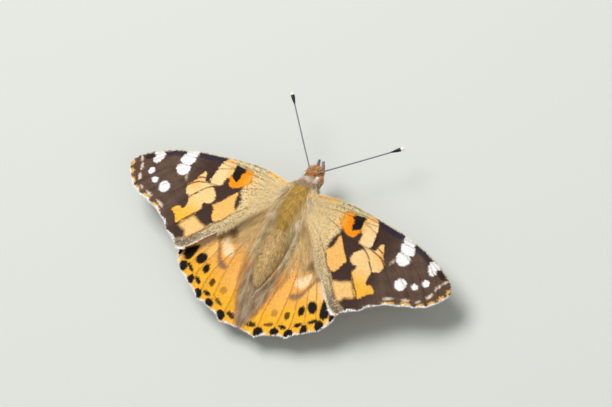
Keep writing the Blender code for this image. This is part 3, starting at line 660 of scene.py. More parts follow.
# Feelers: slim ringed stalks, grey with a white band at each joint, that swell to a black club
# with a cream tip. They spring from the brow and spread forwards.
FEELER_ROOT = (0.6, -6.85, 1.15)
FEELER_TIPS = {"left": (10.5, -17.9, 2.5), "right": (12.4, -16.9, 0.5)}
FEELER_BOW = {"left": 0.12, "right": -0.1}
STALK_RADIUS, CLUB_RADIUS, CLUB_LENGTH = 0.12, 0.33, 2.6
TIP_LENGTH = 0.55
FEELER_RINGS, FEELER_SIDES = 460, 18
JOINTS = 40
feeler_finish = coat_finish("feeler_scales", 0.4, 0.2, 0.1, 0.0, 0.4, 0.04)
for side, hand in SIDES.items():
    root, tip = np.array(FEELER_ROOT), np.array(FEELER_TIPS[side])
    share = np.linspace(0, 1, FEELER_RINGS)
    line = root + (tip - root) * share[:, None]
    line[:, 2] += FEELER_BOW[side] * np.sin(math.pi * share)
    length = np.linalg.norm(tip - root)
    from_tip = (1 - share) * length
    club = ease(CLUB_LENGTH, 0.9, from_tip)
    scape = ease(1.0, 0.3, share * length)
    joint = share * JOINTS % 1
    groove = 0.012 * np.exp(-((joint - 0.5) / 0.14) ** 2)
    radii = STALK_RADIUS - groove + (CLUB_RADIUS - STALK_RADIUS) * club + 0.1 * scape
    round_end = np.clip(1 - (1 - from_tip / TIP_LENGTH) ** 2, 0.003, 1)
    radii = radii * np.sqrt(np.where(from_tip < TIP_LENGTH, round_end, 1))
    band = np.exp(-((joint - 0.5) / 0.2) ** 2)
    stalk = paint(70, 68, 76) + (paint(204, 202, 206) - paint(70, 68, 76)) * band[:, None] * 0.7
    tone = stalk + (paint(24, 23, 32) - stalk) * ease(CLUB_LENGTH, CLUB_LENGTH - 0.5, from_tip)[:, None]
    tone = tone + (paint(250, 240, 220) - tone) * ease(0.72, 0.56, from_tip)[:, None]
    tint = np.vstack([np.repeat(tone, FEELER_SIDES, axis=0), tone[0], tone[-1]])
    feeler = build("feeler_" + side, *tube(line * (hand, 1, 1), radii, FEELER_SIDES), tint, feeler_finish)
    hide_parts("antenna_" + side)


# Legs: the small brush-like front pair is folded under the head. The middle and hind pairs stand
# on five-jointed feet with paired claws, scaled in buff with darker joints and short spines.
def leg_tint(share, chance):
    return chosen(chance, (0.72, 206, 182, 140), (128, 96, 62)) * (0.9 + 0.15 * np.sin(share * 40))[:, None]


TOE = FLOOR + 0.12
WALKING_RADII = [0.36, 0.34, 0.3, 0.24, 0.16, 0.12, 0.1]
LEGS = {  # stations, radii, hairs and their length
    "foreleg": ([
        (0.6, -3.1, -1.6), (0.55, -3.7, -2.2), (0.48, -4.35, -2.3), (0.42, -4.95, -1.9), (0.36, -5.4, -1.4)],
        [0.22, 0.22, 0.2, 0.18, 0.06], 900, 0.3),
    "midleg": ([
        (1.1, -0.8, -2.0), (1.35, -0.95, -3.0), (1.9, -1.2, -3.55), (5.15, -2.4, -2.5), (7.7, -2.9, -5.8),
        (8.6, -3.0, TOE), (11.1, -3.2, TOE)], WALKING_RADII, 1500, 0.24),
    "hindleg": ([
        (1.0, 1.8, -1.9), (1.25, 2.0, -3.0), (1.8, 2.5, -3.55), (4.95, 4.9, -2.6), (7.1, 7.9, -5.8),
        (7.6, 8.7, TOE), (8.65, 11.4, TOE)], WALKING_RADII, 1500, 0.24),
}
LEG_RINGS = 120
SHIN = slice(56, 104)  # the rings from the knee to the toes
leg_finish = coat_finish("leg_cuticle", 0.5, 0.2, 0.2, 0.1, 0.4, 0.06)
claw_finish = coat_finish("claw_horn", 0.3, 0.1, 0.2, 0.0, 0.0, 0.05)
CLAW = [(0.0, 0.0, 0.0), (0.14, 0.09, 0.05), (0.26, 0.14, 0.02), (0.33, 0.15, -0.07)]  # ahead, aside, up
CLAW_RADII = np.linspace(0.055, 0.012, 12)


def spine_tint(share, chance):
    return chosen(chance, (74, 52, 36))


def claw_pair(line, hand):
    """Two hooks side by side from the end of a foot's line, each a tapered tube along a curve."""
    ahead = unit(line[-1] - line[-4])
    beside = unit(np.cross(ahead, (0.0, 0.0, 1.0)))
    pair = []
    for way in (-1, 1):
        stations = [line[-1] + ahead * a + beside * b * way + (0.0, 0.0, c) for a, b, c in CLAW]
        hook = through(stations, np.linspace(0, len(CLAW) - 1, len(CLAW_RADII)))
        pair.append(tube(hook * (hand, 1, 1), CLAW_RADII, 10))
    (points, faces), (others, other_faces) = pair
    points = np.vstack([points, others])
    points[:, 2] = np.maximum(points[:, 2], FLOOR)
    return points, np.vstack([faces, other_faces + len(others)])


for kind, (stations, sizes, hair_count, hair_length) in LEGS.items():
    leg_at = np.linspace(0, len(stations) - 1, LEG_RINGS)
    leg_line = through(stations, leg_at)
    leg_radii = np.interp(leg_at, np.arange(len(sizes)), sizes)
    ankle = len(stations) - 2
    if kind != "foreleg":
        toe_joint = (leg_at - ankle) * 5 % 1
        waist = 1 - 0.3 * np.exp(-((toe_joint - 0.5) / 0.2) ** 2)
        leg_radii = np.where(leg_at > ankle, leg_radii * waist, leg_radii)
        leg_line[:, 2] = np.maximum(leg_line[:, 2], FLOOR + leg_radii)
    for side, hand in SIDES.items():
        line = leg_line * (hand, 1, 1)
        points, faces = tube(line, leg_radii, 14)
        points[:, 2] = np.maximum(points[:, 2], FLOOR)
        leg = build(kind + "_shaft_" + side, points, faces, paint(150, 118, 80), leg_finish)
        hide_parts(kind + "_" + side)
        hairs = tube_tufts(kind + "_coat_" + side, line, leg_radii * 0.95, hair_count, hair_length, 0.05,
                           leg_tint, fur_finish, 41)
        if kind != "foreleg":
            spines = tube_tufts(kind + "_spines_" + side, line[SHIN], leg_radii[SHIN], 44, 0.42, 0.055,
                                spine_tint, claw_finish, 43, 0.5)
            claws = build(kind + "_claws_" + side, *claw_pair(leg_line, hand), paint(60, 40, 26), claw_finish)


# Wings: each is a clear membrane stretched over stiff hollow veins and folded a little between
# them. The hindwing lies under the forewing. A place on a wing is (u, v): u outwards from the
# body's middle and v forwards, in the wing's own tilted plane.
FOREWING_HINGE = (3.1, 3.13, 1.72)
FOREWING_DROOP, FOREWING_TWIST = math.radians(-3.0), math.radians(1.4)
FOREWING_SWEEP = {"left": math.radians(-2.1), "right": 0.0}
FOREWING_REACH, FOREWING_CAMBER = 32.7, 0.3
HINDWING_HINGE = (2.4, 0.0, 0.75)
HINDWING_RISE, HINDWING_TWIST = math.radians(3.5), math.radians(9.3)
WING_SPACING, SPACING_SOFTNESS = 0.62, 0.2
FOLD_HEIGHT, FOLD_WIDTH = 0.4, 0.5
MEMBRANE = 0.035  # half the membrane's thickness
VEIN_HEIGHT, VEIN_WIDTH = 0.075, 0.11
PLEAT_DEPTH, PLEAT_WIDTH = 0.1, 0.9
FRINGE = 0.48  # how far the fringe reaches past the membrane

FOREWING_COSTA = [
    (1.3, 2.7), (3.6, 3.4), (6.2, 3.95), (9.5, 4.15), (14.8, 3.85), (20.8, 3.15),
    (25.2, 2.1), (29.2, 0.5), (31.9, -1.5), (32.75, -2.9)]
FOREWING_ENDS = [
    (32.75, -2.9), (32.5, -3.6), (31.6, -5.0), (30.1, -6.5), (28.2, -7.4),
    (25.4, -8.3), (22.4, -9.6), (20.0, -11.6), (17.1, -13.3)]
FOREWING_INNER = [
    (1.3, 0.2), (2.4, -0.5), (4.0, -1.6), (6.6, -4.0), (9.3, -7.4), (11.7, -9.9), (14.5, -12.8),
    (16.1, -13.55), (17.1, -13.3)]
FOREWING_VEINS = [
    [(2.4, 2.95), (6.2, 3.85), (9.5, 4.05), (14.8, 3.75), (20.8, 3.05), (25.2, 2.0), (29.2, 0.4)],
    [(2.2, 2.3), (7.5, 3.2), (13.0, 3.35), (18.5, 3.1), (20.8, 3.15)],
    [(2.2, 1.7), (8.0, 2.4), (12.8, 2.4), (16.4, 1.4), (19.5, 1.75), (22.3, 1.8), (25.5, 1.3),
     (29.2, -0.3), (32.5, -3.6)],
    [(12.8, 2.4), (17.5, 2.75), (22.0, 2.5), (25.2, 2.1)],
    [(24.0, 1.6), (27.2, 0.1), (29.6, -2.1), (31.6, -5.0)],
    [(16.4, 1.4), (16.6, 0.6), (16.55, -0.4), (16.3, -1.3)],
    [(16.6, 0.6), (19.5, 0.5), (22.5, 0.0), (25.2, -1.3), (27.8, -3.6), (30.1, -6.5)],
    [(16.55, -0.4), (20.0, -1.6), (24.0, -4.0), (28.2, -7.4)],
    [(2.2, 1.1), (5.1, 1.0), (8.2, 0.3), (10.2, -0.45), (12.4, -0.95), (14.5, -1.25), (16.3, -1.3)],
    [(16.3, -1.3), (18.8, -2.0), (20.6, -3.5), (23.0, -5.8), (25.4, -8.3)],
    [(14.5, -1.25), (16.5, -2.5), (19.0, -5.3), (22.4, -9.6)],
    [(10.2, -0.45), (12.0, -2.6), (13.9, -4.9), (16.4, -7.3), (20.0, -11.6)],
    [(2.2, 0.2), (6.5, -2.2), (10.5, -6.2), (14.0, -10.2), (17.1, -13.3)],
]
HINDWING_COSTA = [(2.0, 1.2), (7.5, 1.0), (11.5, -1.6), (14.6, -6.2), (16.1, -10.6), (16.3, -13.8)]
HINDWING_ENDS = [
    (16.3, -13.8), (15.8, -15.4), (14.25, -17.4), (11.8, -18.75), (9.2, -20.6),
    (6.5, -21.1), (3.65, -22.4), (0.2, -22.05)]
HINDWING_INNER = [
    (1.7, -0.6), (1.9, -3.5), (1.95, -7.0), (1.85, -9.0), (1.6, -11.0), (1.15, -12.8),
    (0.5, -14.1), (0.14, -15.2), (0.14, -17.5), (0.2, -22.05)]
FOLD_LINE = [(3.0, -2.0), (3.15, -6.0), (3.05, -9.0), (2.3, -11.5), (1.2, -14.0), (0.35, -16.0), (0.0, -20.0)]
HINDWING_VEINS = [
    [(2.6, 0.3), (7.4, -0.2), (11.2, -3.0), (14.0, -7.4), (15.6, -11.4), (16.3, -13.8)],
    [(2.6, -0.5), (6.2, -3.4), (9.6, -7.2), (13.2, -11.4), (15.8, -15.4)],
    [(8.0, -5.4), (9.9, -9.3), (12.5, -14.6), (14.25, -17.4)],
    [(8.7, -6.9), (9.1, -10.8), (10.5, -14.6), (11.8, -18.75)],
    [(2.5, -1.2), (4.3, -5.2), (5.8, -9.4), (6.4, -14.3), (6.5, -21.1)],
    [(5.8, -9.4), (7.5, -12.4), (8.7, -15.8), (9.2, -20.6)],
    [(4.3, -5.2), (3.9, -11.0), (3.3, -17.4), (3.65, -22.4)],
    [(2.5, -5.0), (2.2, -11.0), (1.3, -17.5), (1.0, -22.1)],
]
FOREWING_SCALLOPS = [0.02, 0.1, 0.14, 0.14, 0.14, 0.2, 0.2, 0.14]
HINDWING_SCALLOPS = [-0.05, -0.1, 0.14, 0.2, 0.3, 0.27, 0.1]


def forewing_surface(u, v, side):
    """Body coordinates of forewing places: the tilted plane, arched a little along its span."""
    across, along = u - FOREWING_HINGE[0], v - FOREWING_HINGE[1]
    sweep = FOREWING_SWEEP[side]
    out = math.cos(sweep) * across - math.sin(sweep) * along
    fore = math.sin(sweep) * across + math.cos(sweep) * along
    x = FOREWING_HINGE[0] + math.cos(FOREWING_DROOP) * out
    y = FOREWING_HINGE[1] + math.cos(FOREWING_TWIST) * fore
    z = FOREWING_HINGE[2] + math.sin(FOREWING_DROOP) * out + math.sin(FOREWING_TWIST) * fore
    share = np.clip(across / (FOREWING_REACH - FOREWING_HINGE[0]), 0, 1)
    z = z + FOREWING_CAMBER * (np.sin(math.pi * share) - 0.5)
    return np.stack([x * SIDES[side], -y, z], axis=-1)


def hindwing_surface(u, v, side):
    """Body coordinates of hindwing places: its own plane, raised in a soft fold beside the
    abdomen and eased down where the forewing lies over it."""
    across, along = u - HINDWING_HINGE[0], v - HINDWING_HINGE[1]
    x = HINDWING_HINGE[0] + math.cos(HINDWING_RISE) * across
    y = HINDWING_HINGE[1] + math.cos(HINDWING_TWIST) * along
    z = HINDWING_HINGE[2] + math.sin(HINDWING_RISE) * across + math.sin(HINDWING_TWIST) * along
    fold_u = np.interp(-v, [-b for a, b in FOLD_LINE], [a for a, b in FOLD_LINE])
    z = z + FOLD_HEIGHT * np.exp(-((u - fold_u) / FOLD_WIDTH) ** 2) * np.clip((v + 19) / 6, 0, 1)
    roof = forewing_surface(x, y, side)[..., 2] - WING_SPACING
    z = -SPACING_SOFTNESS * np.logaddexp(-z / SPACING_SOFTNESS, -roof / SPACING_SOFTNESS)
    return np.stack([x * SIDES[side], -y, z], axis=-1)


def evenly(line, count):
    """The broken line again as count points at equal distances along it."""
    lengths = np.r_[0, np.cumsum(np.linalg.norm(np.diff(line, axis=0), axis=1))]
    at = np.linspace(0, lengths[-1], count)
    return np.column_stack([np.interp(at, lengths, line[:, k]) for k in range(line.shape[1])])


def smooth(points, count):
    return evenly(through(points, np.linspace(0, len(points) - 1, 16 * len(points))), count)


def scalloped(ends, depths, count):
    """A margin through the vein ends that dips inwards between two of them, as half a sine."""
    pieces = []
    for a, b, depth in zip(np.array(ends[:-1]), np.array(ends[1:]), depths):
        share = np.linspace(0, 1, 24, endpoint=False)[:, None]
        inwards = np.array([b[1] - a[1], a[0] - b[0]]) / np.linalg.norm(b - a)
        pieces.append(a + (b - a) * share + inwards * depth * np.sin(math.pi * share))
    pieces.append(np.array(ends[-1:], dtype=float))
    return evenly(np.vstack(pieces), count)


def nearest(u, v, lines):
    """The distance from each place to the nearest of the broken lines."""
    best = np.full(np.shape(u), 1e9)
    for line in lines:
        for a, b in zip(line[:-1], line[1:]):
            du, dv = b - a
            share = np.clip(((u - a[0]) * du + (v - a[1]) * dv) / (du * du + dv * dv + 1e-12), 0, 1)
            best = np.minimum(best, np.hypot(u - a[0] - share * du, v - a[1] - share * dv))
    return best


def relief(u, v, veins):
    """How far a face stands off the wing's middle surface: round veins over shallow pleats."""
    d = nearest(u, v, veins)
    return VEIN_HEIGHT * np.exp(-(d / VEIN_WIDTH) ** 2), PLEAT_DEPTH * (np.exp(-(d / PLEAT_WIDTH) ** 2) - 0.6)


def stretched(fore, rear, root, tip, along, down):
    """A grid of places that fills the four edge lines: the sum of the blends between opposite
    edges less the blend of the corners. Returns it as along by down by 2."""
    s, t = np.linspace(0, 1, along)[:, None, None], np.linspace(0, 1, down)[None, :, None]
    fore, rear = evenly(fore, along)[:, None], evenly(rear, along)[:, None]
    root, tip = evenly(root, down)[None], evenly(tip, down)[None]
    corners = ((1 - s) * (1 - t) * fore[:1] + s * (1 - t) * fore[-1:]
               + (1 - s) * t * rear[:1] + s * t * rear[-1:])
    return (1 - t) * fore + t * rear + (1 - s) * root + s * tip - corners


def inset(line, depth, towards):
    """A line moved sideways by a depth at each of its points, towards a place."""
    slope = unit(np.gradient(line, axis=0))
    side = np.column_stack([-slope[:, 1], slope[:, 0]])
    facing = np.sign(np.einsum("ij,ij->i", side, np.asarray(towards) - line))[:, None]
    return line + side * facing * depth


# Wing markings: flat scales coloured one by one. Deep orange and pale orange patches lie on dark
# brown with white spots near the tip, and the hindwing is orange with rows of black spots.
def rounded(outline, steps=6):
    """A smooth closed line through the outline's points, by the same cubic as open curves."""
    p = np.array(outline, dtype=float)
    t = np.linspace(0, 1, steps, endpoint=False)[None, :, None]
    a, b = p[:, None], np.roll(p, -1, 0)[:, None]
    slope_a = (np.roll(p, -1, 0) - np.roll(p, 1, 0))[:, None] / 2
    slope_b = np.roll(slope_a, -1, 0)
    return cubic(a, b, slope_a, slope_b, t).reshape(-1, 2)


def ragged(u, v):
    """A small uneven shift of a marking's edge, the sum of three crossing waves."""
    coarse = np.sin(9.1 * u + 4.3 * v) + np.sin(11.3 * v - 5.7 * u + 1.3)
    return 0.035 * (coarse + 0.7 * np.sin(16.7 * u + 3.1 * v + 2.1))


def in_outline(u, v, line):
    """Whether each place lies inside a closed line, by counting the edges to its right."""
    inside = np.zeros(len(u), dtype=bool)
    for a, b in zip(line, np.roll(line, -1, 0)):
        if a[1] != b[1]:
            inside ^= ((a[1] > v) != (b[1] > v)) & (u < (b[0] - a[0]) * (v - a[1]) / (b[1] - a[1]) + a[0])
    return inside


def patch(u, v, outline, soft=0.1):
    """1 inside a rounded outline and 0 outside, over a soft and slightly ragged edge."""
    line = rounded(outline)
    low, high = line.min(0) - 1, line.max(0) + 1
    near = (u > low[0]) & (u < high[0]) & (v > low[1]) & (v < high[1])
    result = np.zeros(np.shape(u))
    if not near.any():
        return result
    x, y = u[near], v[near]
    reach = nearest(x, y, [np.vstack([line, line[:1]])])
    result[near] = ease(-soft, soft, np.where(in_outline(x, y, line), reach, -reach) + ragged(x, y))
    return result


def spot(u, v, centre, radii, soft=0.1, turn=0.0):
    """1 inside an ellipse and 0 outside, over a soft edge; turn is its slope in radians."""
    x, y = u - centre[0], v - centre[1]
    a, b = x * math.cos(turn) + y * math.sin(turn), y * math.cos(turn) - x * math.sin(turn)
    reach = (1 - np.hypot(a / radii[0], b / radii[1])) * min(radii)
    return ease(-soft, soft, reach + ragged(u, v))


def lay(tint, colour, share):
    """The tint with a colour laid over it by a share of 0 to 1."""
    return tint + (colour - tint) * np.asarray(share)[..., None]


BLACK, UMBER, SOOT = paint(24, 17, 15), paint(96, 74, 60), paint(66, 47, 38)
INDIGO, WHITE, CREAM = paint(36, 36, 60), paint(252, 251, 248), paint(250, 226, 190)
ORANGE, DEEP, PALE, YOLK = paint(252, 180, 78), paint(250, 148, 8), paint(252, 212, 150), paint(252, 184, 50)
BUFF, FAWN, OCHRE = paint(232, 200, 140), paint(200, 162, 108), paint(236, 182, 84)

# Each outline runs round its marking in wing places.
CELL_ORANGE = [
    (9.3, 2.5), (10.0, 2.95), (11.0, 2.85), (12.0, 2.0), (13.1, 1.0), (12.9, 0.2), (12.6, -0.5),
    (12.1, -0.8), (10.9, -0.5), (9.9, 0.2), (9.35, 1.1)]
CELL_BLACK = [
    (10.8, 2.5), (11.5, 2.95), (13.1, 2.95), (13.05, 1.4), (12.8, 1.0), (12.2, 0.6), (11.6, 0.45),
    (11.3, 1.0), (11.3, 1.8)]
CELL_PALE = [
    (13.1, 3.0), (13.6, 3.95), (14.5, 3.85), (15.4, 3.1), (15.75, 2.3), (16.05, 1.0), (16.25, 0.0),
    (16.35, -1.0), (15.6, -1.5), (14.6, -1.3), (13.85, -0.95), (13.75, 0.3), (13.25, 0.75),
    (13.05, 1.6)]
LOWER_BASAL = [
    (10.15, -1.25), (10.9, -1.55), (11.7, -2.6), (12.8, -3.8), (13.6, -4.75), (13.2, -5.3),
    (12.9, -6.4), (12.2, -7.15), (11.3, -6.8), (10.5, -6.1), (9.9, -5.2), (9.3, -4.2), (9.9, -3.4),
    (10.05, -2.4)]
CENTRE_BAND = [
    (13.85, -3.7), (14.05, -2.85), (14.8, -2.1), (15.6, -1.6), (16.7, -1.3), (17.25, -1.15),
    (17.45, -0.3), (17.8, 0.25), (18.15, 0.05), (18.6, -0.85), (18.85, -1.6), (19.6, -2.4),
    (19.95, -3.0), (19.5, -4.3), (18.8, -4.55), (18.4, -5.2), (18.35, -6.5), (18.8, -6.95),
    (19.7, -6.8), (20.6, -7.7), (19.6, -8.35), (18.9, -9.3), (18.35, -9.7), (17.6, -9.0), (16.45, -7.5),
    (15.7, -6.6), (15.4, -5.8), (15.65, -4.85), (14.9, -4.75), (14.2, -4.45)]
LOWER_PAIR = [
    (13.2, -8.6), (14.4, -8.2), (15.9, -7.55), (16.7, -8.2), (17.8, -9.7), (16.9, -10.15),
    (16.3, -10.4), (15.95, -11.1), (15.4, -11.2), (14.6, -10.5), (13.8, -9.7)]
BASAL_DARK = [(9.3, -1.9), (9.9, -1.2), (10.2, -2.0), (9.95, -3.2), (9.35, -3.6), (9.25, -2.6)]
WHITE_BARS = [
    [(20.7, 2.6), (21.0, 3.15), (22.8, 2.8), (23.05, 2.15), (22.2, 1.9), (21.0, 2.0)],
    [(20.95, 1.85), (22.9, 2.0), (23.5, 1.3), (23.5, 0.55), (22.7, 0.25), (21.4, 0.4), (21.0, 1.1)],
    [(21.2, 0.2), (22.6, 0.2), (23.45, -0.1), (23.6, -0.8), (23.1, -1.4), (22.5, -1.75), (21.6, -1.5),
     (21.0, -0.8)]]
TIP_WHITE = [
    (26.8, 0.3), (27.1, 1.05), (28.3, 0.9), (28.95, 0.3), (28.45, -0.1), (28.65, -0.75), (28.0, -1.25),
    (27.3, -0.9), (26.8, -0.1)]
BASE_AREA = [
    (0.0, 3.6), (4.0, 5.2), (9.0, 5.4), (13.6, 5.0), (14.5, 4.2), (14.2, 3.6), (12.6, 3.1), (10.0, 3.1),
    (9.2, 2.6), (9.1, 1.0), (9.8, 0.0), (9.9, -1.0), (9.3, -1.9), (9.2, -3.8), (9.9, -5.5),
    (11.3, -7.0), (12.7, -8.3), (13.6, -9.8), (15.0, -11.3), (16.3, -11.8), (17.6, -12.6),
    (17.4, -14.0), (12.0, -13.0), (0.0, -2.0)]
OCHRE_MARKS = [
    ((32.0, -2.5), (0.6, 0.28), 1.5), ((31.4, -4.0), (0.62, 0.4), 1.05),
    ((30.35, -5.4), (0.68, 0.42), 0.95), ((28.8, -6.55), (0.74, 0.42), 0.6),
    ((26.4, -7.3), (0.95, 0.44), 0.26), ((23.7, -8.3), (1.1, 0.4), 0.35),
    ((21.0, -10.05), (0.7, 0.26), 0.75), ((18.4, -12.0), (0.6, 0.22), 0.7)]
CREAM_MARKS = [
    ((30.7, -1.35), (0.55, 0.2), 1.05), ((30.0, -2.65), (0.58, 0.24), 1.2),
    ((29.45, -4.4), (0.66, 0.26), 1.12), ((28.1, -6.0), (0.4, 0.16), 0.6),
    ((26.1, -6.6), (0.7, 0.2), 0.35), ((23.2, -7.55), (0.8, 0.2), 0.45)]


def forewing_upper(u, v, veins):
    """The upper side: a golden base, orange patches across the middle, dark brown outer third
    with white spots, ochre and cream marks along the margin and a grey band on the inner edge."""
    costa = nearest(u, v, [np.array(FOREWING_COSTA)])
    inner = nearest(u, v, [np.array(FOREWING_INNER)])
    blotch = waves(u * 0.35, v * 0.35, 0.8)
    tint = SOOT + (UMBER - SOOT) * (ease(17.5, 22.0, u) * (0.55 + 0.75 * blotch))[:, None]
    tint = lay(tint, INDIGO, ease(1.35, 0.7, costa) * ease(14.6, 15.2, u) * ease(29.0, 26.0, u) * 0.8)
    base = patch(u, v, BASE_AREA, 0.35)
    golden = BUFF + (FAWN - BUFF) * (0.55 * waves(u * 0.5, v * 0.7, 2.0) * ease(-1, -5, v))[:, None]
    tint = tint + (golden - tint) * base[:, None]
    tint = lay(tint, paint(206, 194, 148), base * ease(2.6, 3.1, v - 0.08 * (u - 9)) * 0.7)
    tint = lay(tint, paint(164, 152, 120), base * ease(2.0, 0.3, inner) * ease(6.0, 10.0, u) * 0.75)
    tint = lay(tint, paint(122, 110, 90), base * ease(11.5, 15.0, u) * ease(2.4, 0.8, inner) * 0.85)
    tint = lay(tint, paint(246, 190, 108), base * ease(0.75, 0.25, costa) * ease(8.0, 5.5, u))
    tint = lay(tint, DEEP, patch(u, v, CELL_ORANGE, 0.16))
    tint = lay(tint, ORANGE, spot(u, v, (9.2, 1.4), (0.9, 1.6), 0.5) * 0.45)
    tint = lay(tint, BLACK, patch(u, v, CELL_BLACK))
    cell = patch(u, v, CELL_PALE, 0.1)
    tint = lay(tint, PALE, cell)
    tint = lay(tint, ORANGE, cell * np.clip(ease(14.3, 13.4, u) + ease(2.6, 3.4, v), 0, 1) * 0.6)
    lower = patch(u, v, LOWER_BASAL)
    tint = lay(tint, ORANGE + (PALE - ORANGE) * 0.25, lower)
    band = patch(u, v, CENTRE_BAND)
    warm = ease(-4.0, -8.0, v)[:, None]
    tint = tint + (PALE + (YOLK - PALE) * (0.15 + 0.8 * warm) - tint) * band[:, None]
    tint = lay(tint, ORANGE, band * ease(17.0, 19.0, u) * ease(-4.4, -1.6, v) * 0.75)
    pair = patch(u, v, LOWER_PAIR, 0.4)
    tint = lay(tint, ORANGE + (PALE - ORANGE) * 0.55, pair)
    tint = lay(tint, SOOT, patch(u, v, BASAL_DARK, 0.2) * 0.9)
    for bar in WHITE_BARS:
        tint = lay(tint, WHITE, patch(u, v, bar, 0.1))
    tint = lay(tint, CREAM, spot(u, v, (20.85, -1.75), (0.5, 0.25), 0.2, 1.2) * 0.5)
    tint = lay(tint, WHITE, patch(u, v, TIP_WHITE, 0.1))
    tint = lay(tint, BLACK, spot(u, v, (29.5, -0.45), (1.0, 0.5), 0.2, -0.5) * 0.85)
    for centre, radii in (((24.0, -4.6), (1.03, 1.0)), ((27.8, -2.75), (0.58, 0.62)),
                          ((26.35, -4.0), (0.6, 0.52))):
        tint = lay(tint, WHITE, spot(u, v, centre, radii, 0.1))
    for centre, radii, turn in CREAM_MARKS:
        tint = lay(tint, paint(244, 226, 204), spot(u, v, centre, radii, 0.14, turn) * 0.85)
    for centre, radii, turn in OCHRE_MARKS:
        tint = lay(tint, OCHRE, spot(u, v, centre, radii, 0.12, turn) * (0.95 if centre[0] > 22 else 0.6))
    d = nearest(u, v, veins)
    on_orange = np.clip(band + pair + cell * 0.2, 0, 1)
    on_base = base * ease(3.5, 6.5, u) * 0.45 * (1 - lower)
    strength = np.clip(0.3 * (1 - base) + 0.55 * on_orange + on_base, 0, 0.85)
    tint = lay(tint, SOOT, ease(0.14, 0.05, d) * strength)
    tint = lay(tint, paint(226, 214, 178), ease(0.2, 0.08, costa) * ease(12.0, 15.0, u)
               * ease(31.0, 29.0, u) * 0.8)
    tint = lay(tint, paint(236, 214, 190), ease(0.3, 0.12, inner) * ease(9.5, 12.5, u) * 0.9)
    return tint


def forewing_specks(u, v):
    """Where loose dark and pale scales are sprinkled: all over the base but not on its patches."""
    cell = patch(u, v, CELL_ORANGE, 0.2) + patch(u, v, CELL_BLACK, 0.2) + patch(u, v, LOWER_BASAL, 0.2)
    return patch(u, v, BASE_AREA, 0.4) * np.clip(1 - cell, 0, 1) * (0.5 + 0.5 * ease(2.0, 5.0, u))


def forewing_under(u, v, veins):
    """The underside: rosy orange and black over the middle, the white spots again, and a marbled
    olive and buff tip."""
    tint = forewing_upper(u, v, veins)
    base = patch(u, v, BASE_AREA, 0.35)
    tint = lay(tint, paint(240, 140, 100), base * 0.75 * ease(-9.0, -6.0, v))
    tint = lay(tint, paint(222, 200, 170), base * ease(-6.0, -9.0, v))
    tip = ease(24.0, 25.5, u + 0.35 * v) * ease(14, 18, u)
    marble = waves(u * 0.45, v * 0.5, 3.1)[:, None]
    tone = paint(150, 128, 92) + (paint(214, 200, 164) - paint(150, 128, 92)) * marble
    tint = tint + (tone - tint) * tip[:, None]
    for bar in WHITE_BARS + [TIP_WHITE]:
        tint = lay(tint, WHITE, patch(u, v, bar, 0.1))
    for centre in ((24.0, -4.6), (27.8, -2.75), (26.35, -4.0)):
        tint = lay(tint, WHITE, spot(u, v, centre, (0.6, 0.55)))
    return tint


DISC_PALE = [
    (9.0, -8.3), (9.3, -8.9), (9.0, -10.0), (8.35, -11.1), (7.4, -11.8), (6.45, -11.4), (6.25, -10.5),
    (7.15, -9.75), (8.05, -8.95)]
DISC_SHADE = [
    (9.5, -8.6), (10.2, -8.9), (9.7, -10.3), (9.1, -11.6), (8.5, -13.1), (7.7, -13.9), (6.6, -13.8),
    (6.5, -13.1), (7.6, -12.6), (8.4, -11.8), (9.0, -10.7), (9.4, -9.7)]
DISC_SMUDGE = [(7.1, -8.6), (8.2, -8.3), (9.4, -7.3), (9.0, -6.5), (8.1, -6.2), (7.4, -7.2)]
COSTAL_PINK = [(10.5, -8.8), (11.6, -9.9), (13.2, -11.8), (12.5, -12.2), (11.4, -11.2), (10.5, -10.0)]
CORNER_DARK = [(12.6, -11.9), (13.6, -12.4), (14.7, -13.4), (14.7, -14.3), (14.1, -15.0), (13.2, -14.7),
               (12.8, -13.5)]
BLACK_SPOTS = [
    ((11.3, -13.78), (1.1, 0.86), -0.87, 1.0), ((9.72, -15.0), (0.6, 0.88), 0.0, 1.0),
    ((7.65, -16.65), (0.54, 0.7), 0.0, 0.88), ((5.2, -17.05), (0.62, 0.66), 0.0, 0.35),
    ((12.5, -15.9), (1.0, 0.33), 0.6, 1.0), ((10.25, -17.35), (0.78, 0.38), 0.6, 1.0),
    ((7.75, -18.65), (0.74, 0.38), 0.05, 1.0), ((5.15, -19.15), (0.95, 0.33), 0.35, 0.85),
    ((1.8, -20.25), (1.25, 0.5), 0.1, 0.95), ((13.85, -16.15), (0.78, 0.95), 0.0, 1.0),
    ((11.6, -17.75), (0.68, 0.88), 0.0, 1.0), ((9.3, -19.4), (0.8, 0.95), -0.3, 1.0),
    ((6.65, -19.9), (0.85, 0.65), 0.3, 1.0), ((3.95, -21.1), (0.95, 1.02), 0.0, 1.0),
    ((15.45, -14.2), (0.45, 0.65), 0.2, 1.0)]
STRIP_WIDTHS = ((-22.0, 0.5), (-20.0, 0.95), (-18.0, 1.6), (-16.0, 2.15), (-14.0, 2.65), (-12.0, 3.05),
                (-8.0, 3.3), (0.0, 3.2))


def strip_width(v):
    """How far the grey-brown strip beside the body reaches out at each place along the wing."""
    return np.interp(v, [a for a, b in STRIP_WIDTHS], [b for a, b in STRIP_WIDTHS])


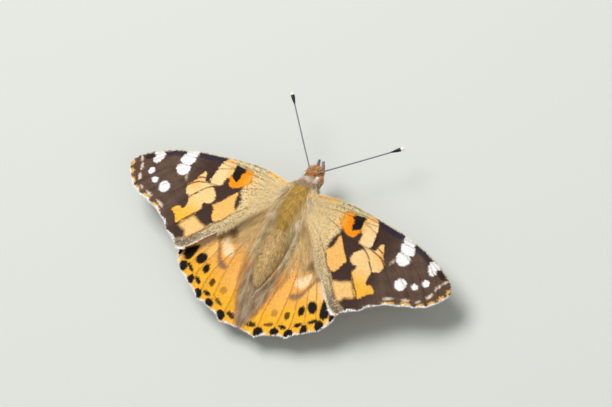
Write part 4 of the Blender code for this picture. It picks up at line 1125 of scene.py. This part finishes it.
def hindwing_upper(u, v, veins):
    """The upper side: golden brown and hairy at the base, then orange that brightens towards the
    margin, with black spots in rows and a grey-brown strip beside the body."""
    reach = np.hypot(u - 2.4, v)
    tint = np.tile(paint(218, 170, 102), (len(u), 1))
    tint = lay(tint, paint(184, 136, 80), 0.5 * waves(u * 0.4, v * 0.3, 1.1) * ease(12.0, 8.0, reach))
    tint = lay(tint, paint(250, 178, 84), ease(7.5, 13.0, reach))
    tint = lay(tint, paint(254, 184, 40), ease(15.0, 19.0, reach + 0.2 * u) * 0.9)
    tint = lay(tint, paint(254, 206, 118), spot(u, v, (10.6, -11.6), (1.3, 2.2), 0.8, 0.45) * 0.7)
    tint = lay(tint, paint(252, 188, 96), spot(u, v, (4.9, -15.2), (1.5, 2.4), 0.8) * 0.4)
    tint = lay(tint, paint(126, 90, 56), patch(u, v, DISC_SMUDGE, 0.45)
               * (0.5 + 0.5 * waves(u * 2.2, v * 0.9)))
    tint = lay(tint, paint(254, 220, 168), patch(u, v, DISC_PALE, 0.25))
    tint = lay(tint, paint(255, 214, 178), patch(u, v, COSTAL_PINK, 0.2) * 0.7)
    tint = lay(tint, paint(146, 112, 84), patch(u, v, DISC_SHADE, 0.3)
               * (0.8 + 0.2 * waves(u * 1.3, v * 1.1, 2.0)))
    vein = ease(0.13, 0.04, nearest(u, v, veins))
    tint = lay(tint, paint(168, 104, 46), vein * 0.5 * ease(8, 10, reach))
    tint = lay(tint, BLACK, patch(u, v, CORNER_DARK, 0.15))
    tint = lay(tint, CREAM, spot(u, v, (15.0, -15.2), (0.22, 0.7), 0.15, 0.1) * 0.8)
    for centre, radii, turn, share in BLACK_SPOTS:
        dark = BLACK if share > 0.5 else paint(120, 72, 40)
        tint = lay(tint, dark, spot(u, v, centre, radii, 0.12, turn) * max(share, 0.5))
    width = strip_width(v)
    strip = ease(1.12, 0.8, u / width)
    low = ease(-9.5, -12.5, v) * ease(-22.2, -20.6, v)
    tint = lay(tint, paint(206, 134, 70), ease(1.55, 1.1, u / width) * low * 0.6)
    tint = lay(tint, paint(180, 146, 108), strip * low * 0.85)
    tint = lay(tint, paint(206, 190, 140), strip * ease(-11.5, -9.0, v) * 0.5)
    # A thin dark line along the outer edge of the strip, on the fold that rises beside the body, is painted
    # shade of the crease.
    tint = lay(tint, paint(110, 92, 74), ease(0.16, 0.05, np.abs(u - width)) * ease(-3.0, -5.0, v)
               * ease(-11.0, -8.5, v) * 0.6)
    return tint


def hindwing_specks(u, v):
    """Where loose scales are sprinkled: over the base of the wing, fading outwards."""
    base = ease(12.0, 6.5, np.hypot(u - 2.5, v)) * ease(3.0, 4.5, u + 0.1 * v)
    return base * (1 - patch(u, v, DISC_PALE, 0.3))


def hindwing_under(u, v, veins):
    """The underside: marbled olive, brown and cream with white veins, and a row of ringed spots
    with blue and black centres inside a pale margin."""
    marble = waves(u * 0.3, v * 0.34, 1.9)
    tint = np.tile(paint(172, 146, 106), (len(u), 1))
    tint = lay(tint, paint(118, 94, 66), ease(0.58, 0.7, marble))
    tint = lay(tint, paint(238, 228, 206), ease(0.42, 0.3, marble))
    reach = np.hypot(u - 2.4, v)
    tint = lay(tint, paint(204, 178, 134), ease(13.0, 14.0, reach) * 0.8)
    for centre, size in (((11.25, -13.75), 1.15), ((9.5, -15.3), 0.8), ((7.6, -16.65), 0.8),
                         ((5.15, -17.2), 1.05)):
        tint = lay(tint, paint(240, 216, 140), spot(u, v, centre, (size, size)))
        tint = lay(tint, BLACK, spot(u, v, centre, (size * 0.72, size * 0.72)))
        tint = lay(tint, paint(96, 132, 176), spot(u, v, centre, (size * 0.35, size * 0.35)))
    rim = nearest(u, v, [np.array(HINDWING_ENDS)])
    tint = lay(tint, paint(242, 234, 214), ease(1.3, 1.0, rim) * ease(0.45, 0.6, rim))
    tint = lay(tint, paint(204, 158, 96), ease(0.6, 0.45, rim))
    tint = lay(tint, paint(244, 238, 226), ease(0.16, 0.07, nearest(u, v, veins)) * 0.85)
    return tint


membrane_finish = coat_finish("wing_membrane", 0.7, 0.04, 0.4, 0.0, 0.1, 0.06, 0.15)
scale_finish = coat_finish("wing_scales", 0.68, 0.03, 0.3, 0.0, 0.0, 0.05, 0.12)
SCALE_FACES = np.array([
    (3, 1, 0), (4, 3, 0), (2, 4, 0), (0, 1, 5), (1, 3, 5), (3, 4, 5), (4, 2, 5), (2, 0, 5)])
UP = (0.0, 0.0, 1.0)


def wing_places(u, v):
    """A wing place's spot on its flat bake map."""
    return np.column_stack([(u + 1) / 35, (v + 24) / 30])


def speckle(u, v, tint, share, rng):
    """Odd scales of another colour, in small clumps of dark and of pale ones."""
    pick = rng.uniform(0, 1, len(u))
    clump = 0.55 * waves(u * 3.3, v * 2.9, 0.3) + 0.45 * rng.uniform(0, 1, len(u))
    dark = pick < 0.75 * share * ease(0.55, 0.8, clump)
    pale = pick > 1 - 0.5 * share * ease(0.5, 0.3, clump)
    tint = np.where(dark[:, None], tint * 0.5, tint)
    return np.where(pale[:, None], tint * 0.5 + paint(250, 232, 190) * 0.5, tint)


def wing_lie(wing, side, u, v, away):
    """The direction in space of a short step along the wing from each place."""
    step = away * 0.05
    return unit(wing["surface"](u + step[:, 0], v + step[:, 1], side) - wing["surface"](u, v, side))


def shingles(name, wing, side, face, colour_of, spacing, seed):
    """Flat scales in rows round the wing's hinge, like roof tiles, on one face of a wing. face is
    1 above and -1 below. Each is a kite sunk at its root and lifted at its tip."""
    rng = np.random.default_rng(seed)
    hinge, veins, outline = wing["hinge"], wing["veins"], wing["outline"]
    rows = np.arange(0.4, 32, spacing)
    roots = []
    for index, reach in enumerate(rows):
        count = int(2 * math.pi * reach / spacing)
        turn = (np.arange(count) + 0.5 * (index % 2)) * spacing / reach
        roots.append(np.column_stack([hinge[0] + reach * np.cos(turn), hinge[1] + reach * np.sin(turn)]))
    places = np.vstack(roots)
    places = places + rng.normal(0, spacing * 0.12, places.shape)
    places = places[in_outline(places[:, 0], places[:, 1], outline)]
    u, v = places.T
    away = unit(places - hinge)
    turned = rng.normal(0, 0.12, len(u))
    cos, sin = np.cos(turned), np.sin(turned)
    away = np.column_stack([away[:, 0] * cos - away[:, 1] * sin, away[:, 0] * sin + away[:, 1] * cos])
    if face < 0:
        reach = (u + away[:, 0] * spacing * 2.2, v + away[:, 1] * spacing * 2.2)
        covered = in_outline(*reach, outline) & (nearest(*reach, [outline]) > spacing * 0.6)
        u, v, away = u[covered], v[covered], away[covered]
    step = 0.02

    def lifted(a, b):
        ridge, pleat = relief(a, b, veins)
        point = wing["surface"](a, b, side)
        point[:, 2] += pleat + face * (MEMBRANE + ridge)
        return point

    root = lifted(u, v)
    lie = unit(lifted(u + away[:, 0] * step, v + away[:, 1] * step) - root)
    up = np.tile((0.0, 0.0, float(face)), (len(u), 1))
    across = unit(np.cross(up, lie))
    up = np.cross(lie, across)
    long = spacing * 1.75 * rng.uniform(0.85, 1.15, (len(u), 1))
    wide = spacing * 1.25 * rng.uniform(0.85, 1.1, (len(u), 1))
    tilt = rng.uniform(0.08, 0.2, (len(u), 1))
    points = np.empty((len(u), 6, 3))
    points[:, 0] = root - up * 0.012
    points[:, 1] = root + lie * long * 0.45 + across * wide * 0.5 + up * long * tilt * 0.45
    points[:, 2] = root + lie * long * 0.45 - across * wide * 0.5 + up * long * tilt * 0.45
    points[:, 3] = root + lie * long + across * wide * 0.26 + up * long * tilt
    points[:, 4] = root + lie * long - across * wide * 0.26 + up * long * tilt
    points[:, 5] = root + lie * long * 0.5 + up * (long * tilt * 0.5 - 0.02)
    tint = speckle(u, v, colour_of(u, v, veins), wing["specks"](u, v), rng)
    tint = tint * rng.uniform(0.84, 1.06, (len(u), 1))
    lean = up - lie * tilt * 0.6 + across * rng.normal(0, 0.06, (len(u), 1))
    facing = np.concatenate([np.repeat(lean[:, None], 5, axis=1), -up[:, None]], axis=1)
    corner = np.array([(0.5, 0), (0, 0.5), (1, 0.5), (0.2, 1), (0.8, 1), (0.5, 0.5)]) * TUFT_PATCH
    uv = (wing_places(u, v)[:, None] + corner[None]).reshape(-1, 2)
    faces = (SCALE_FACES[None] + 6 * np.arange(len(u))[:, None, None]).reshape(-1, 3)
    tint = np.repeat(tint, 6, axis=0)
    return build(name, points.reshape(-1, 3), faces, tint, scale_finish, uv, facing.reshape(-1, 3))


def beside(line, pitch, centre):
    """Places at an even pitch along an edge, with its slope and the way out of the wing there."""
    edge = evenly(line, int(np.linalg.norm(np.diff(line, axis=0), axis=1).sum() / pitch))
    slope = unit(np.gradient(edge, axis=0))
    out = np.column_stack([slope[:, 1], -slope[:, 0]])
    return edge, slope, out * np.sign(np.einsum("ij,ij->i", out, edge - centre))[:, None]


def fringe(name, wing, side, line, seed):
    """The fringe: long narrow scales along the outer margin, white between the veins and dark at
    their ends."""
    rng = np.random.default_rng(seed)
    edge, _, out = beside(line, 0.035, wing["centre"])
    u, v = (edge - out * rng.uniform(0.0, 0.2, (len(edge), 1))).T
    lie = wing_lie(wing, side, u, v, unit(out + rng.normal(0, 0.13, out.shape)))
    here = wing["surface"](u, v, side)
    here[:, 2] += rng.uniform(-0.03, 0.04, len(u))
    points = tufts(here, lie, UP, FRINGE * rng.uniform(0.8, 1.35, len(u)), 0.085, 0.02,
                   rng.uniform(-0.05, 0.08, len(u)))
    gap = nearest(u, v, [np.array([end, end + 1e-6]) for end in np.array(wing["ends"])])
    dark = ease(0.55, 0.3, gap + rng.normal(0, 0.07, len(u))) * wing["dark_ends"]
    tint = lay(WHITE, paint(60, 48, 44), dark)
    return tuft_piece(name, points, tint, wing_places(u, v), fur_finish)


def wing_hairs(name, wing, side, seed):
    """Long loose hairs that lie outwards over the wing's base, dense near the body. Hairs that
    run the same way share a colour, so that they read as streaks."""
    rng = np.random.default_rng(seed)
    count, region, length, colour_of, rise = wing["hairs"]
    hinge, outline = wing["hinge"], wing["outline"]
    places = rng.uniform(outline.min(0), outline.max(0), (count * 16, 2))
    places = places[rng.uniform(0, 1, len(places)) < region(places[:, 0], places[:, 1])]
    places = places[in_outline(places[:, 0], places[:, 1], outline)][:count]
    u, v = places.T
    away = unit(places - hinge) + rng.normal(0, 0.14, places.shape)
    fold = 0.4 * ease(3.8, 3.2, u) * ease(-2.0, -4.0, v) * ease(-13.0, -11.0, v)
    away[:, 0] -= 0.3 * ease(1.6, 0.4, u) * ease(-12.5, -14.5, v) + fold
    bearing = np.arctan2(v - hinge[1], u - hinge[0])
    ridge, pleat = relief(u, v, wing["veins"])
    here = wing["surface"](u, v, side)
    here[:, 2] += MEMBRANE + ridge + pleat
    points = tufts(
        here, wing_lie(wing, side, u, v, unit(away)), UP, length * rng.uniform(0.6, 1.3, len(u)),
        rng.uniform(0.03, 0.055, len(u)), rng.uniform(0.08, 0.2, len(u)) + rise(u, v),
        rng.uniform(0.0, 0.15, len(u)))
    chance = np.clip(waves(bearing * 17, np.hypot(u, v) * 0.2, 0.9) + rng.normal(0, 0.22, len(u)), 0, 0.999)
    tint = colour_of(u, v, chance) * rng.uniform(0.85, 1.1, (len(u), 1))
    return tuft_piece(name, points, tint, wing_places(u, v), fur_finish)


def edge_hairs(name, wing, side, line, seed):
    """Soft hairs that hang from the forewing's inner edge near the body over the hindwing."""
    rng = np.random.default_rng(seed)
    edge, slope, out = beside(line, 0.012, wing["centre"])
    slope = slope * np.sign(slope[:, :1])
    u, v = (edge - out * rng.uniform(0.0, 0.5, (len(edge), 1))).T
    lie = wing_lie(wing, side, u, v, unit(out + slope * 0.9 + rng.normal(0, 0.2, out.shape)))
    here = wing["surface"](u, v, side)
    here[:, 2] += MEMBRANE
    points = tufts(here, lie, UP, rng.uniform(0.6, 1.3, len(u)), rng.uniform(0.035, 0.055, len(u)), 0.1,
                   rng.uniform(0.35, 0.6, len(u)))
    tint = fore_hair_colour(u, v, rng.uniform(0, 0.999, len(u))) * rng.uniform(0.85, 1.1, (len(u), 1))
    return tuft_piece(name, points, tint, wing_places(u, v), fur_finish)


def flat(u, v):
    return np.zeros(len(u))


def raised_beside_forewing(u, v):
    """Extra lift of the hindwing's hairs near the forewing's inner edge, so that they fill the
    step between the two wings."""
    return 0.42 * ease(1.7, 0.5, nearest(u, v, [np.array(FOREWING_INNER)])) * ease(-9.5, -7.0, v)


def fore_region(u, v):
    return ease(9.0, 2.5, u) * 0.75


def hind_region(u, v):
    near = (ease(11.0, 4.0, np.hypot(u - 2.0, v + 1.0) * 0.85)
            * ease(-10.0, -7.4, v + 1.1 * ease(6.0, 4.5, u) * -2.0))
    edge = ease(1.4, 0.6, nearest(u, v, [np.array(FOREWING_INNER)])) * ease(-9.5, -7.5, v)
    strip = ease(1.5, 0.95, u / strip_width(v)) * ease(-21.5, -19.5, v)
    return np.clip(near * 0.85 + strip * 0.9 + edge * 0.8, 0, 1)


def fore_hair_colour(u, v, chance):
    """Straw and gold with a few brown and grey-green ones."""
    tint = chosen(chance, (0.3, 210, 172, 116), (0.62, 236, 202, 144), (0.82, 248, 218, 158), (212, 208, 172))
    return lay(tint, paint(246, 194, 108), ease(2.8, 3.4, v) * ease(8.5, 5.5, u))


def hind_hair_colour(u, v, chance):
    """Gold, brown and pale green over the base, and warm grey over the strip by the body."""
    gold = chosen(chance, (0.32, 202, 154, 96), (0.66, 232, 188, 120), (0.84, 244, 206, 138), (204, 198, 154))
    grey = chosen(chance, (0.35, 146, 120, 92), (0.7, 184, 150, 112), (196, 186, 154))
    width = strip_width(v)
    fold = ease(0.75, 0.3, np.abs(u - width + 0.2)) * ease(-2.0, -4.5, v) * ease(-12.5, -10.5, v)
    gold = lay(gold, chosen(chance, (0.4, 150, 140, 112), (212, 206, 172)), fold * 0.65)
    halo = ease(1.6, 1.15, u / width) * ease(-8.5, -11.5, v) * 0.8
    gold = lay(gold, chosen(chance, (0.5, 190, 122, 66), (222, 156, 88)), halo)
    gold = lay(gold, paint(112, 80, 50), patch(u + 0.3, v - 0.6, DISC_SMUDGE, 0.5) * 0.8)
    return lay(gold, grey, ease(1.15, 0.9, u / width) * ease(-9.5, -12.5, v))


WINGS = {
    "forewing": {
        "surface": forewing_surface, "costa": FOREWING_COSTA, "inner": FOREWING_INNER, "ends": FOREWING_ENDS,
        "scallops": FOREWING_SCALLOPS, "veins": FOREWING_VEINS, "grid": (200, 116),
        "centre": (17.0, -3.0), "hinge": (0.5, 1.4),
        "upper": forewing_upper, "under": forewing_under, "specks": forewing_specks,
        "hairs": (8000, fore_region, 0.95, fore_hair_colour, flat),
        "inner_fringe": 0.1, "dark_ends": 1.0},
    "hindwing": {
        "surface": hindwing_surface, "costa": HINDWING_COSTA, "inner": HINDWING_INNER, "ends": HINDWING_ENDS,
        "scallops": HINDWING_SCALLOPS, "veins": HINDWING_VEINS, "grid": (140, 120),
        "centre": (8.0, -10.0), "hinge": (1.0, 3.0),
        "upper": hindwing_upper, "under": hindwing_under, "specks": hindwing_specks,
        "hairs": (14500, hind_region, 1.35, hind_hair_colour, raised_beside_forewing),
        "inner_fringe": 0.0, "dark_ends": 0.35},
}
for kind, wing in WINGS.items():
    veins = [smooth(vein, 5 * len(vein)) for vein in wing["veins"]]
    fore_edge = smooth(wing["costa"], 120)
    inner_edge = smooth(wing["inner"], 120)
    margin = scalloped(wing["ends"], wing["scallops"], 160)
    rim = inset(margin, FRINGE, wing["centre"])
    for end, edge in ((0, fore_edge), (-1, inner_edge)):
        rim[end] = edge[-1] + (rim[end] - margin[end]) * 0.5
        edge[-1] = rim[end]
    root_edge = np.array([fore_edge[0], inner_edge[0]])
    outline = np.vstack([fore_edge, rim[1:], inner_edge[::-1][1:]])
    fringe_line = np.vstack([rim, inner_edge[::-1][1:1 + int(wing["inner_fringe"] * 120)]])
    along, down = wing["grid"]
    places = stretched(fore_edge, inner_edge, root_edge, rim, along, down).reshape(-1, 2)
    u, v = places.T
    ridge, pleat = relief(u, v, veins)
    fade = ease(0.0, 0.3, nearest(u, v, [np.vstack([outline, outline[:1]])]))
    count = len(u)
    i, j = np.meshgrid(np.arange(along - 1), np.arange(down - 1), indexing="ij")
    top = np.stack([i * down + j, (i + 1) * down + j, (i + 1) * down + j + 1, i * down + j + 1],
                   axis=-1).reshape(-1, 4)
    loop = np.r_[np.arange(along) * down, (along - 1) * down + np.arange(1, down),
                 np.arange(along - 2, -1, -1) * down + down - 1, np.arange(down - 2, 0, -1)]
    walls = np.column_stack([loop, loop + count, np.roll(loop, -1) + count, np.roll(loop, -1)])
    tint = np.vstack([wing["upper"](u, v, veins), wing["under"](u, v, veins)]) * 0.82
    wing = {**wing, "veins": veins, "outline": outline}
    for side, hand in SIDES.items():
        sheet = wing["surface"](u, v, side)
        sheet[:, 2] += pleat
        lift = np.zeros_like(sheet)
        lift[:, 2] = MEMBRANE * (0.35 + 0.65 * fade) + ridge * fade
        points = np.vstack([sheet + lift, sheet - lift])
        faces = np.vstack([top, top[:, ::-1] + count, walls])
        seed = 50 + 10 * (kind == "hindwing") + (hand > 0)
        skin = build(kind + "_membrane_" + side, points, outward(points, faces), tint, membrane_finish)
        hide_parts(kind + "_" + side)
        pieces = [
            skin,
            shingles(kind + "_scales_upper_" + side, wing, side, 1, wing["upper"], 0.2, seed),
            shingles(kind + "_scales_under_" + side, wing, side, -1, wing["under"], 0.27, seed + 2),
            fringe(kind + "_fringe_" + side, wing, side, fringe_line, seed + 4),
            wing_hairs(kind + "_hairs_" + side, wing, side, seed + 6)]
        if kind == "forewing":
            hanging = inner_edge[inner_edge[:, 0] < 10.5]
            pieces.append(edge_hairs("forewing_edge_hairs_" + side, wing, side, hanging, seed + 9))
